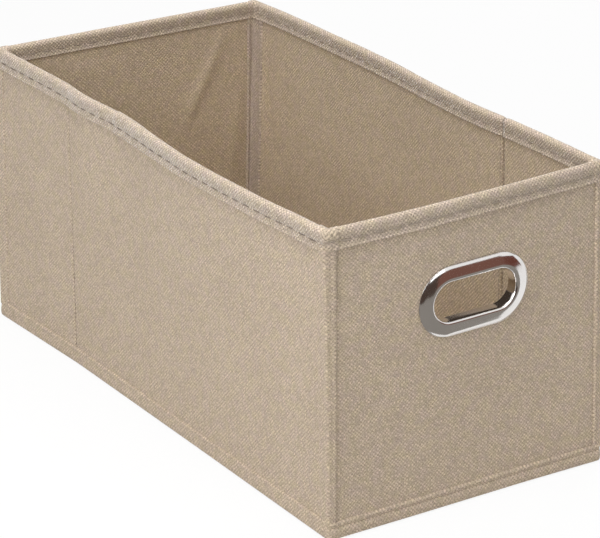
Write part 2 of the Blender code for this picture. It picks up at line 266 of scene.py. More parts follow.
def stitch_run(middles: Points, along: Points, outward: Points, length: float, thick: float) -> Shell:
    """Make many short stitches of thread as one shell.

    Formula: each stitch is a tube of six sides along a low arch.  Its half width is the thread's
    half thickness times the root of one minus the fourth power of the place along it.

    Args:
        middles: the middle of each stitch.
        along: the direction of each stitch.
        outward: the direction that each stitch's arch rises in.
        length: the length of one stitch.
        thick: the thickness of the thread.

    Returns:
        The shell of all the stitches.
    """
    places = np.array([-1.0, -0.8, -0.35, 0.35, 0.8, 1.0])
    half = np.sqrt(1.0001 - places**4) * thick / 2
    turn = np.arange(6) / 6 * 2 * math.pi
    side = np.cross(along, outward)
    rise = (1 - places**2) * thick * 0.35 - thick * 0.2
    spine = middles[:, None, :] + along[:, None, :] * (places * length / 2)[None, :, None]
    spine = spine + outward[:, None, :] * rise[None, :, None]
    across = side[:, None, None, :] * (np.cos(turn)[None, :] * half[:, None])[None, :, :, None]
    up = outward[:, None, None, :] * (np.sin(turn)[None, :] * half[:, None])[None, :, :, None]
    points = spine[:, :, None, :] + across + up
    rings, sides = len(places), len(turn)
    index = np.arange(rings * sides).reshape(rings, sides)
    body = quads(np.concatenate([index, index[:, :1]], axis=1))
    ends = []
    for row, step in ((0, 1), (rings - 1, -1)):
        ring = index[row][::step]
        ends += [[ring[0], ring[3], ring[2], ring[1]], [ring[0], ring[5], ring[4], ring[3]]]
    one = np.concatenate([body, np.array(ends)])
    faces = one[None] + (np.arange(len(middles)) * rings * sides)[:, None, None]
    vertices = points.reshape(-1, 3)
    place = np.zeros((len(vertices), 2))
    place[:, 0] = np.tile(np.repeat(places * length / 2, sides), len(middles))
    return Shell(vertices, faces.reshape(-1, 4), place)


# How the box stands


@dataclass(frozen=True)
class Bow:
    """How far an edge of the box stands out, in mm, at places from its start to its end."""

    places: tuple[float, ...]
    outward: tuple[float, ...]

    def at(self, share: Points) -> Points:
        """Give the bow in metres at shares of the edge.

        Formula: straight lines between the places, smoothed by a raised-cosine window.

        Args:
            share: how far along the edge, from 0 to 1.

        Returns:
            How far the edge stands out there.
        """
        fine = np.linspace(-0.1, 1.1, 361)
        straight = np.interp(fine, self.places, self.outward)
        window = np.hanning(23)
        padded = np.pad(straight, 11, mode="edge")
        smooth = np.convolve(padded, window / window.sum(), mode="valid")
        return np.interp(share, fine, smooth) * MM


@dataclass(frozen=True)
class Posture:
    """The lean and the bows that take a straight box to the real one."""

    foot_width: float = 0.1540
    rim_width: float = 0.1512
    foot_length: float = 0.3145
    rim_length: float = 0.3055
    front_rim: Bow = Bow(
        (0, 0.03, 0.08, 0.13, 0.18, 0.23, 0.28, 0.38, 0.43, 0.48, 0.52, 0.57, 0.62, 0.67, 0.72, 0.77, 0.85, 0.92, 1),
        (0.8, 1.8, 3.3, 4.9, 5.6, 6.0, 6.5, 6.5, 5.1, 4.1, 2.7, 1.4, 0.9, 2.2, 2.4, 0.6, 0.9, 1.4, 1.7),
    )
    front_foot: Bow = Bow((0, 0.36, 0.75, 1), (0.5, -0.8, -1.8, 0.6))
    near_rim: Bow = Bow((0, 0.34, 0.5, 0.66, 0.81, 0.89, 1), (0.6, 1.1, 0.1, -1.1, -2.6, -3.1, -4.4))
    near_foot: Bow = Bow((0, 0.3, 0.7, 1), (-0.3, -0.3, -0.9, -0.4))
    rear_rim: Bow = Bow(
        (0, 0.13, 0.23, 0.28, 0.33, 0.38, 0.43, 0.48, 0.57, 0.67, 0.72, 0.82, 0.92, 1),
        (4.3, 4.5, 3.6, 2.5, 2.0, 2.4, 3.1, 4.0, 5.8, 6.4, 6.1, 5.9, 5.2, 3.3),
    )
    rear_foot: Bow = Bow((0, 0.5, 1), (0.3, 0.6, 0.3))
    far_rim: Bow = Bow((0, 0.5, 1), (1.7, 0.2, -1.2))
    far_foot: Bow = Bow((0, 1), (0.3, 0.3))
    corner_swell: float = 1.8 * MM
    corner_fade: float = 34 * MM
    corner_reach: float = 4.6 * MM

    def settle(self, points: Points) -> Points:
        """Move points of the straight box to where they are on the real one.

        Formula: each level is scaled about the middle, by a share that changes in line with
        height.  The bow of each side is then added.  It changes in line with height from foot to
        rim, and fades in line with the distance from its side to the opposite one.  Last, the
        padded corner beside the front wall's near end stands out by the square of its height.

        Args:
            points: any array of points, with x, y and z last.

        Returns:
            The moved points, as an array of the same shape.
        """
        x, y, z = points[..., 0], points[..., 1], points[..., 2]
        level = np.clip(z / BOX.height, 0, 1.02)
        front = np.clip(0.5 - x / BOX.width, 0, 1)
        near = np.clip(0.5 - y / BOX.length, 0, 1)
        front_bow, rear_bow, near_bow, far_bow = (
            mix(foot.at(share), rim.at(share), level)
            for foot, rim, share in (
                (self.front_foot, self.front_rim, 1 - near),
                (self.rear_foot, self.rear_rim, 1 - near),
                (self.near_foot, self.near_rim, 1 - front),
                (self.far_foot, self.far_rim, 1 - front),
            )
        )
        across = mix(self.foot_width, self.rim_width, level) / BOX.width
        along = mix(self.foot_length, self.rim_length, level) / BOX.length
        outside = np.clip(1 - (x + BOX.half_width) / self.corner_reach, 0, 1.1)
        beside = 1 - ease(y + BOX.half_length, 1.5 * MM, self.corner_fade)
        swell = self.corner_swell * level**2 * outside * beside
        moved = np.empty_like(points)
        moved[..., 0] = x * across - front_bow * front + rear_bow * (1 - front) - swell
        moved[..., 1] = y * along - near_bow * near + far_bow * (1 - near)
        moved[..., 2] = np.maximum(z, 0.0)
        return moved


POSTURE = Posture()


# Finishes


class Nodes:
    """A short way to add and join the nodes of one material or group."""

    def __init__(self, tree: bpy.types.NodeTree) -> None:
        """Keep the tree that the nodes go into."""
        self.tree = tree

    def add(self, kind: str, inputs: dict | None = None, **settings: object) -> bpy.types.Node:
        """Add a node.

        Args:
            kind: the node's type name.
            inputs: a value or an output socket for each named or numbered input.
            settings: the node's own properties.

        Returns:
            The new node.
        """
        node = self.tree.nodes.new(kind)
        for name, value in settings.items():
            setattr(node, name, value)
        for key, value in (inputs or {}).items():
            if isinstance(value, Socket):
                self.tree.links.new(value, node.inputs[key])
            else:
                node.inputs[key].default_value = value
        return node

    def maths(self, operation: str, *values: object) -> Socket:
        """Work out one number from others."""
        inputs = dict(enumerate(values))
        return self.add("ShaderNodeMath", inputs, operation=operation).outputs[0]

    def blend(self, share: object, first: object, second: object) -> Socket:
        """Mix two colours by a share."""
        node = self.add("ShaderNodeMix", {0: share, 6: first, 7: second}, data_type="RGBA")
        return node.outputs[2]

    def noise(self, vector: object, scale: float, detail: float = 2.0) -> Socket:
        """Add a soft random value that changes over a vector."""
        inputs = {"Vector": vector, "Scale": scale, "Detail": detail}
        return self.add("ShaderNodeTexNoise", inputs).outputs["Fac"]

    def vector(self, operation: str, inputs: dict) -> Socket:
        """Work out one vector from others."""
        return self.add("ShaderNodeVectorMath", inputs, operation=operation).outputs[0]

    def stretch(self, vector: object, scale: Triple) -> Socket:
        """Scale a vector by its own value on each axis."""
        return self.vector("MULTIPLY", {0: vector, 1: scale})

    def spread(self, value: object, low: float, high: float, first: float = 0.0, last: float = 1.0) -> Socket:
        """Turn values from low to high into values from first to last."""
        return self.add("ShaderNodeMapRange", {0: value, 1: low, 2: high, 3: first, 4: last}).outputs[0]

    def times(self, first: object, last: object) -> Socket:
        """Multiply two colours."""
        inputs = {0: 1.0, 6: first, 7: last}
        return self.add("ShaderNodeMix", inputs, data_type="RGBA", blend_type="MULTIPLY").outputs[2]

    def tone(self, share: object, colour: Triple, depth: float) -> Socket:
        """Mix a colour with its own darker tone, by a share."""
        return self.blend(share, (*(value * depth for value in colour), 1.0), (*colour, 1.0))

    def emboss(self, shader: bpy.types.Node, height: object, distance: float, strength: float) -> None:
        """Raise a shader's surface by a height that changes over it."""
        bump = self.add("ShaderNodeBump", {"Strength": strength, "Distance": distance, "Height": height})
        self.tree.links.new(bump.outputs[0], shader.inputs["Normal"])

    def seen(self) -> Socket:
        """Give 1 where the camera, a mirror or a glass sees the surface, and 0 for other rays."""
        rays = self.add("ShaderNodeLightPath").outputs
        direct = self.maths("MAXIMUM", rays["Is Camera Ray"], rays["Is Glossy Ray"])
        return self.maths("MAXIMUM", direct, rays["Is Transmission Ray"])

    def take_over(self, share: object, plain: bpy.types.Node, other: bpy.types.Node, output: str) -> None:
        """Let a second shader take over from a first by a share, at the named output."""
        both = self.add("ShaderNodeMixShader", {0: share, 1: plain.outputs[0], 2: other.outputs[0]})
        self.tree.links.new(both.outputs[0], self.tree.nodes[output].inputs[0])


class WeaveGroup:
    """The shader node group that weaves yarns over a piece's cloth coordinates."""

    NAME = "woven_yarns"

    def build(self) -> bpy.types.NodeTree:
        """Make the group once.

        Formula: the cloth's two directions are waved a little and divided by the repeat.  The
        product of a sine along each is a chequer whose tops are the warp's bumps and whose
        hollows are the weft's.  Each yarn has streaks of its own: noise drawn out along it.
        Each crossing has a random height and lightness, and finer noise stands for its fibres.

        Returns:
            The group, with outputs Height, Yarn, Speck and Hue, all from 0 to 1.
        """
        found = bpy.data.node_groups.get(self.NAME)
        if found:
            return found
        tree = bpy.data.node_groups.new(self.NAME, "ShaderNodeTree")
        sockets = tree.interface
        sockets.new_socket("Cloth", in_out="INPUT", socket_type="NodeSocketVector")
        for way, names in (("INPUT", ("Repeats", "Waver")), ("OUTPUT", ("Height", "Yarn", "Speck", "Hue"))):
            for name in names:
                sockets.new_socket(name, in_out=way, socket_type="NodeSocketFloat")
        nodes = Nodes(tree)
        given = nodes.add("NodeGroupInput").outputs
        drift = nodes.add("ShaderNodeTexNoise", {"Vector": given["Cloth"], "Scale": 160.0, "Detail": 2.0})
        centred = nodes.vector("SUBTRACT", {0: drift.outputs["Color"], 1: (0.5, 0.5, 0.5)})
        moved = nodes.vector("SCALE", {0: centred, "Scale": given["Waver"]})
        place = nodes.vector("ADD", {0: given["Cloth"], 1: moved})
        split = nodes.add("ShaderNodeSeparateXYZ", {0: place})
        turns = nodes.maths("MULTIPLY", given["Repeats"], 2 * math.pi)
        warp = nodes.maths("SINE", nodes.maths("MULTIPLY", split.outputs[0], turns))
        weft = nodes.maths("SINE", nodes.maths("MULTIPLY", split.outputs[1], turns))
        chequer = nodes.maths("MULTIPLY", warp, weft)
        doubled = nodes.maths("MULTIPLY", given["Repeats"], 2.0)
        cell = nodes.vector("FLOOR", {0: nodes.vector("SCALE", {0: place, "Scale": doubled})})
        lone = nodes.add("ShaderNodeTexWhiteNoise", {"Vector": cell}, noise_dimensions="2D").outputs[0]
        fibres = nodes.noise(given["Cloth"], 1900.0, 1.0)
        crisp = nodes.spread(fibres, 0.30, 0.70)
        speck = nodes.maths("MULTIPLY_ADD", lone, 0.42, nodes.maths("MULTIPLY", crisp, 0.58))
        bump = nodes.maths("MULTIPLY", chequer, nodes.maths("MULTIPLY_ADD", lone, 0.24, 0.20))
        height = nodes.maths("MULTIPLY_ADD", crisp, 0.22, nodes.maths("ADD", bump, 0.40))
        tint = nodes.noise(given["Cloth"], 170.0, 2.0)
        hue = nodes.spread(tint, 0.34, 0.66)
        over = nodes.maths("GREATER_THAN", chequer, 0.0)
        upright = nodes.noise(nodes.stretch(place, (1500.0, 130.0, 1.0)), 1.0, 1.0)
        level = nodes.noise(nodes.stretch(place, (130.0, 1500.0, 1.0)), 1.0, 1.0)
        picked = nodes.add("ShaderNodeMix", {0: over, 2: level, 3: upright}, data_type="FLOAT")
        yarn = nodes.spread(picked.outputs[0], 0.25, 0.75)
        nodes.add("NodeGroupOutput", {"Height": height, "Yarn": yarn, "Speck": speck, "Hue": hue})
        return tree


def new_material(name: str) -> tuple[bpy.types.Material, Nodes]:
    """Start a material, and give it with its nodes."""
    material = bpy.data.materials.new(name)
    material.use_nodes = True
    return material, Nodes(material.node_tree)


@dataclass(frozen=True)
class Finish:
    """What a piece is made of: its material's name and the record's slot."""

    name: str
    slot: str

    def build(self) -> bpy.types.Material:
        """Make the material, once.

        Returns:
            The material, with the nodes of its own kind of finish.
        """
        found = bpy.data.materials.get(self.name)
        if found:
            return found
        material, nodes = new_material(self.name)
        self.dress(nodes, material.node_tree.nodes["Principled BSDF"])
        return material

    def dress(self, nodes: Nodes, shader: bpy.types.Node) -> None:
        """Add the nodes of this kind of finish.

        Args:
            nodes: the material's nodes.
            shader: its shader.
        """
        raise NotImplementedError(self.name)


@dataclass(frozen=True)
class ClothFinish(Finish):
    """A woven cloth: its two yarn colours, the painted shade of its hollows, its weave and its surface.

    With its share above zero, the cloth gets a painted highlight along the box's top edge: its colour is paler
    there, standing in for the light from above on the band's crown.
    """

    pale: Triple
    deep: Triple
    # Painted shade in the weave's hollows, and painted light on its tops, as a share of the colour.
    hollow: float = 0.30
    speckle: float = 0.36
    repeat: float = 1.96 * MM
    relief: float = 0.42 * MM
    sheen: float = 0.06
    sheen_rough: float = 0.60
    # Painted highlight along the box's top edge: its share, and where it starts and ends below the top.
    painted_top_highlight: float = 0.0
    painted_top_highlight_from: float = 2.9 * MM
    painted_top_highlight_to: float = 0.2 * MM
    waver: float = 0.9 * MM
    warm: Triple = (1.0, 1.0, 0.925)
    cool: Triple = (1.0, 0.972, 1.015)

    def dress(self, nodes: Nodes, shader: bpy.types.Node) -> None:
        """Weave the cloth along the piece's own cloth coordinates.

        Formula: large soft patches and each yarn's streaks mix the two yarn colours.  Painted shade darkens them in
        the weave's hollows and painted light lightens them on its tops, each crossing has its own lightness, and the
        hue drifts a little between warm and cool.  Along the box's top edge, a painted highlight can make them
        paler.

        Args:
            nodes: the material's nodes.
            shader: its shader.
        """
        cloth = nodes.add("ShaderNodeUVMap", uv_map="cloth").outputs[0]
        inputs = {"Cloth": cloth, "Repeats": 1 / self.repeat, "Waver": self.waver}
        weave = nodes.add("ShaderNodeGroup", node_tree=WeaveGroup().build(), inputs=inputs).outputs
        body = nodes.add("ShaderNodeTexCoord").outputs["Object"]
        patch = nodes.noise(body, 26.0, 3.0)
        share = nodes.maths("MULTIPLY_ADD", patch, 0.5, nodes.maths("MULTIPLY", weave["Yarn"], 0.5))
        yarns = nodes.blend(share, (*self.deep, 1.0), (*self.pale, 1.0))
        # Painted shade and light: the colour darkens where the weave is low and grows lighter where it is high.
        dip = nodes.spread(weave["Height"], 0.1, 0.85, 1 - self.hollow, 1 + 0.8 * self.hollow)
        mottle = nodes.maths("MULTIPLY_ADD", weave["Speck"], 2 * self.speckle, 1 - self.speckle)
        dark = nodes.maths("MULTIPLY", dip, mottle)
        # Painted highlight: the colour grows paler towards the box's top edge, standing in for the light from above
        # on the crown.
        if self.painted_top_highlight:
            level = nodes.add("ShaderNodeSeparateXYZ", {0: body}).outputs[2]
            start, end = BOX.height - self.painted_top_highlight_from, BOX.height - self.painted_top_highlight_to
            dark = nodes.maths("MULTIPLY", dark, nodes.spread(level, start, end, 1.0, 1 + self.painted_top_highlight))
        shade = nodes.add("ShaderNodeCombineColor", {0: dark, 1: dark, 2: dark}).outputs[0]
        tint = nodes.blend(weave["Hue"], (*self.warm, 1.0), (*self.cool, 1.0))
        nodes.tree.links.new(nodes.times(yarns, nodes.times(tint, shade)), shader.inputs["Base Color"])
        nodes.emboss(shader, weave["Height"], self.relief, 1.0)
        shader.inputs["Roughness"].default_value = 0.92
        shader.inputs["Specular IOR Level"].default_value = 0.25
        shader.inputs["Sheen Weight"].default_value = self.sheen
        shader.inputs["Sheen Roughness"].default_value = self.sheen_rough


@dataclass(frozen=True)
class ThreadFinish(Finish):
    """Spun sewing thread with a fine twist."""

    colour: Triple

    def dress(self, nodes: Nodes, shader: bpy.types.Node) -> None:
        """Let slanting plies shade the colour and raise the surface.

        Args:
            nodes: the material's nodes.
            shader: its shader.
        """
        place = nodes.add("ShaderNodeTexCoord").outputs["Object"]
        inputs = {"Vector": place, "Scale": 900.0, "Distortion": 1.5}
        plies = nodes.add("ShaderNodeTexWave", inputs, bands_direction="DIAGONAL").outputs["Fac"]
        nodes.tree.links.new(nodes.tone(plies, self.colour, 0.6), shader.inputs["Base Color"])
        nodes.emboss(shader, plies, 0.1 * MM, 0.6)
        shader.inputs["Roughness"].default_value = 0.75


@dataclass(frozen=True)
class CardFinish(Finish):
    """Grey-brown board with fibres."""

    colour: Triple

    def dress(self, nodes: Nodes, shader: bpy.types.Node) -> None:
        """Lay short fibres and soft blotches over the board's colour.

        Args:
            nodes: the material's nodes.
            shader: its shader.
        """
        place = nodes.add("ShaderNodeTexCoord").outputs["Object"]
        fibres = nodes.noise(nodes.stretch(place, (300.0, 900.0, 500.0)), 1.0, 4.0)
        blotch = nodes.noise(place, 40.0, 2.0)
        share = nodes.maths("MULTIPLY_ADD", fibres, 0.6, nodes.maths("MULTIPLY", blotch, 0.4))
        nodes.tree.links.new(nodes.tone(share, self.colour, 0.7), shader.inputs["Base Color"])
        nodes.emboss(shader, fibres, 0.1 * MM, 0.5)
        shader.inputs["Roughness"].default_value = 0.9


@dataclass(frozen=True)
class ChromeFinish(Finish):
    """Bright plating with faint rubbing."""

    colour: Triple

    def dress(self, nodes: Nodes, shader: bpy.types.Node) -> None:
        """Make a mirror whose roughness and lightness change a little where it is rubbed.

        Args:
            nodes: the material's nodes.
            shader: its shader.
        """
        place = nodes.add("ShaderNodeTexCoord").outputs["Object"]
        rubs = nodes.noise(nodes.stretch(place, (90.0, 90.0, 300.0)), 1.0, 5.0)
        nodes.tree.links.new(nodes.spread(rubs, 0.3, 0.8, 0.09, 0.16), shader.inputs["Roughness"])
        cloudy = nodes.noise(place, 60.0, 2.0)
        nodes.tree.links.new(nodes.tone(cloudy, self.colour, 0.93), shader.inputs["Base Color"])
        shader.inputs["Metallic"].default_value = 1.0


WALL_CLOTH = ClothFinish("wall_cloth", "outer_cloth", (0.532, 0.441, 0.340), (0.430, 0.345, 0.263))
BINDING_CLOTH = ClothFinish(
    "binding_cloth",
    "binding",
    (0.497, 0.419, 0.338),
    (0.390, 0.316, 0.247),
    # stronger painted shade in the weave's hollows
    hollow=0.38,
    relief=0.48 * MM,
    sheen=0.80,
    sheen_rough=0.28,
    # painted highlight on the band's crown
    painted_top_highlight=0.26,
)
LINING_CLOTH = ClothFinish("lining_cloth", "lining", (0.545, 0.448, 0.331), (0.441, 0.351, 0.253))
TAPE_CLOTH = ClothFinish("tape_cloth", "lining", (0.502, 0.415, 0.339), (0.404, 0.328, 0.268))
BOTTOM_CLOTH = ClothFinish("bottom_cloth_weave", "bottom_cloth", (0.403, 0.326, 0.249), (0.317, 0.249, 0.183))
SEAM_THREAD = ThreadFinish("seam_thread", "outer_cloth", (0.300, 0.235, 0.185))
# Dark rim thread: partly the thread's own darker colour, partly painted shade of the stitch holes and the groove it
# sinks into.
RIM_THREAD_AND_HOLE_SHADE = ThreadFinish("rim_thread", "binding", (0.240, 0.188, 0.150))
INNER_THREAD = ThreadFinish("inner_rim_thread", "binding", (0.340, 0.275, 0.220))
CREASE_THREAD = ThreadFinish("crease_thread", "lining", (0.350, 0.282, 0.218))
PALE_THREAD = ThreadFinish("pale_thread", "binding", (0.470, 0.390, 0.315))
CARD = CardFinish("grey_card", "card", (0.36, 0.27, 0.17))
CHROME = ChromeFinish("bright_chrome", "chrome", (0.81, 0.785, 0.765))


# Making a piece


@dataclass(frozen=True)
class Bend:
    """Cloth that crosses a hinge: the two bodies, and where each one's hold on it ends."""

    first: str
    second: str
    start: Triple
    end: Triple


def show(thing: bpy.types.Object) -> bpy.types.Object:
    """Put an object into the scene and hand it back."""
    bpy.context.scene.collection.objects.link(thing)
    return thing


def make_piece(
    name: str,
    shell: Shell,
    finish: Finish,
    hold: str | Bend,
    stands_for: tuple[str, ...] = (),
    sharp: float = 50.0,
) -> bpy.types.Object:
    """Turn a shell into a finished piece that rides on its body, or stays where it is on a bend between two.

    Args:
        name: the piece's name.
        shell: its closed surface on the straight box.
        finish: what it is made of.
        hold: the body that carries it, or the bend between two bodies, which leaves the piece unattached.
        stands_for: the CAD nodes that it replaces.
        sharp: the angle in degrees past which an edge is sharp.

    Returns:
        The finished object.
    """
    turned = Shell(POSTURE.settle(shell.vertices), shell.faces, shell.on_cloth).facing_out()
    mesh = bpy.data.meshes.new(name)
    mesh.from_pydata(turned.vertices.tolist(), [], turned.faces.tolist())
    corners = np.empty(len(mesh.loops), np.int32)
    mesh.loops.foreach_get("vertex_index", corners)
    layer = mesh.uv_layers.new(name="cloth")
    layer.data.foreach_set("uv", turned.on_cloth[corners].astype(np.float32).ravel())
    mesh.shade_smooth()
    mesh.set_sharp_from_angle(angle=math.radians(sharp))
    mesh.materials.append(finish.build())
    piece = show(bpy.data.objects.new(name, mesh))
    if isinstance(hold, Bend):
        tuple(hold.start)
        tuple(hold.end)
        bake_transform(piece)
    else:
        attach(piece, hold)
    if stands_for:
        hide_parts(*stands_for)
    log.info("%s: %d faces on %s", name, len(turned.faces), hold)
    return piece


# The walls


@dataclass(frozen=True)
class Panel:
    """Where one stiff panel stands on the straight box."""

    name: str
    face: Pair
    along: Pair
    inward: Pair
    start: float
    end: float

    def place(self, depth: Points, run: Points, height: Points) -> Points:
        """Give points from depth behind the outer face, run along it and height.

        Args:
            depth: distance behind the outer face, below zero outside it.
            run: distance along the panel.
            height: distance above the floor.

        Returns:
            The points on the straight box, with x, y and z last.
        """
        depth, run, height = np.broadcast_arrays(depth, run, height)
        x = self.face[0] + self.inward[0] * depth + self.along[0] * run
        y = self.face[1] + self.inward[1] * depth + self.along[1] * run
        return np.stack([x, y, height], axis=-1).astype(float)


class Lip(Enum):
    """The sides of a rim band: where it is sewn, where it ends, its relief and its crown's height."""

    LONG_OUTSIDE = (6.65, 10.35, 1.0, 3.3)
    END_OUTSIDE = (6.20, 9.75, 1.25, 4.3)
    INSIDE = (6.00, 9.20, 0.5, 2.7)

    @property
    def sewn(self) -> float:
        """How far below the top the band is drawn in by its stitches."""
        return self.value[0]

    @property
    def reach(self) -> float:
        """How far below the top the band's folded edge is."""
        return self.value[1]

    @property
    def crown(self) -> float:
        """How far the crown's round comes down on this side."""
        return self.value[3]

    def outline(self) -> Points:
        """Draw the side from its folded edge up to where the crown starts.

        Formula: a ridge over the folded edge, a dip where the band is sewn, and a low round
        above it.  The places follow from this side's values.

        Returns:
            Depths and heights in mm, below zero outwards and downwards.
        """
        edge, dip = -self.reach, -self.sewn
        shape = np.array(
            [
                (-0.10, edge),
                (-0.70, edge + 0.06),
                (-1.00, edge + 0.32),
                (-0.84, edge + 0.75),
                (-0.52, edge + 1.25),
                (-0.40, mix(edge, dip, 0.62)),
                (-0.20, dip - 0.42),
                (-0.18, dip + 0.20),
                (-0.44, dip + 0.85),
                (-0.60, mix(dip, -self.crown, 0.88)),
            ]
        )
        shape[4:-1, 0] = mix(-0.50, shape[4:-1, 0], self.value[2])
        shape[1:4, 0] = mix(-0.60, shape[1:4, 0], self.value[2])
        return shape


@dataclass(frozen=True)
class BandShape:
    """Cross-sections of the folded bands, as depth and height in mm."""

    crown_round: float = 1.1
    hem_outline: Outline = (
        (0.05, 8.05), (-0.40, 7.95), (-0.62, 7.50), (-0.52, 6.70), (-0.12, 5.95),
        (-0.12, 5.60), (-0.52, 5.00), (-0.75, 3.40), (-0.70, 1.60), (-0.38, 0.45),
        (0.25, 0.08), (0.95, 0.30), (1.50, 0.95), (2.55, 1.10), (3.00, 1.70),
        (3.00, 6.80),
    )
    plain_hem: Outline = ((-0.50, 6.70), (-0.48, 5.95), (-0.50, 5.60), (-0.58, 5.00))

    def rim(self, wall: float, outside: Lip) -> Points:
        """Draw the rim band from its outer edge over the top to its inner edge.

        Formula: the outer side's points, then half an oval over the wall, whose height is the
        sine to a power below one and which comes down further on one side, then the inner
        side's points, mirrored.

        Args:
            wall: the thickness that the band folds over, in metres.
            outside: which outer side it has.

        Returns:
            The line's depths and heights in metres, the heights counted from the box's top.
        """
        side, other = outside.outline(), Lip.INSIDE.outline()[::-1]
        half = wall / MM / 2
        turn = np.radians(np.linspace(172, 8, 15))
        left = turn > math.pi / 2
        reach = half - np.where(left, side[-1, 0], other[0, 0])
        rise = np.where(left, outside.crown, Lip.INSIDE.crown) * (np.sin(turn) ** (1 / self.crown_round) - 1)
        crown = np.stack([half + reach * np.cos(turn), rise], axis=1)
        mirrored = np.stack([2 * half - other[:, 0], other[:, 1]], axis=1)
        return through([tuple(point) for point in np.concatenate([side, crown, mirrored])], 2) * MM

    def hem(self, sewn: bool) -> Points:
        """Draw the hem from its outer lip, under the wall, to its inner lip.

        Args:
            sewn: whether stitches draw it in outside, as on the two ends.

        Returns:
            The line's depths and heights in metres.
        """
        knots = list(self.hem_outline)
        if not sewn:
            knots[3:7] = self.plain_hem
        return through(knots, 2) * MM


BANDS = BandShape()
RIM_THICK = 0.45 * MM
HEM_THICK = 0.40 * MM
BAND_SPACING = 1.1 * MM
SEAM_PLACE = 4.4 * MM


@dataclass(frozen=True)
class RowPlaces:
    """How far behind the outer face each row of stitches lies, and how high the hem's row is."""

    rim_outside: float = -0.22 * MM
    rim_inside: float = BOX.wall + 0.30 * MM
    hem_drawn_in: float = -0.10 * MM
    hem_plain: float = -0.48 * MM
    hem_height: float = 5.78 * MM
    crease_outside: float = 0.34 * MM
    crease_inside: float = BOX.wall - 0.25 * MM
    corner: float = 0.06 * MM


ROWS = RowPlaces()


@dataclass(frozen=True)
class StitchSizes:
    """How one row is sewn."""

    pitch: float
    length: float
    thick: float


RIM_SEWING = StitchSizes(pitch=8.4 * MM, length=5.6 * MM, thick=0.55 * MM)
BASE_SEWING = StitchSizes(pitch=5.0 * MM, length=3.6 * MM, thick=0.45 * MM)
HEM_SEWING = StitchSizes(pitch=2.6 * MM, length=2.0 * MM, thick=0.36 * MM)
SEAM_SEWING = StitchSizes(pitch=2.4 * MM, length=1.7 * MM, thick=0.40 * MM)


def uneven(run: Points, seed: float) -> Points:
    """Give a small hand-made unevenness from -1 to 1: a sum of three sines of the run."""
    total = np.sin(run * 61 + seed) + 0.6 * np.sin(run * 143 + 2.1 * seed)
    return (total + 0.4 * np.sin(run * 307 + 3.3 * seed)) / 2


@dataclass(frozen=True)
class Fold:
    """A soft fold in a lining, from one place to another, as runs and heights in mm."""

    start: Pair
    end: Pair
    reach: float
    rise: float

    def at(self, run: Points, height: Points) -> Points:
        """Give how far the fold lifts the cloth into the box.

        Formula: a bell of the distance to the line between the two places, fading to nothing
        a little beyond them.

        Args:
            run: places along the panel.
            height: heights above the floor.

        Returns:
            The lift in metres at each place.
        """
        start, end = np.array(self.start) * MM, np.array(self.end) * MM
        way = end - start
        share = ((run - start[0]) * way[0] + (height - start[1]) * way[1]) / (way @ way)
        near = np.clip(share, 0, 1)
        gap = np.hypot(run - start[0] - way[0] * near, height - start[1] - way[1] * near)
        tapered = 0.25 + 0.75 * np.sin(near * math.pi)
        return hill(gap, 0.0, self.reach * MM) * self.rise * MM * tapered


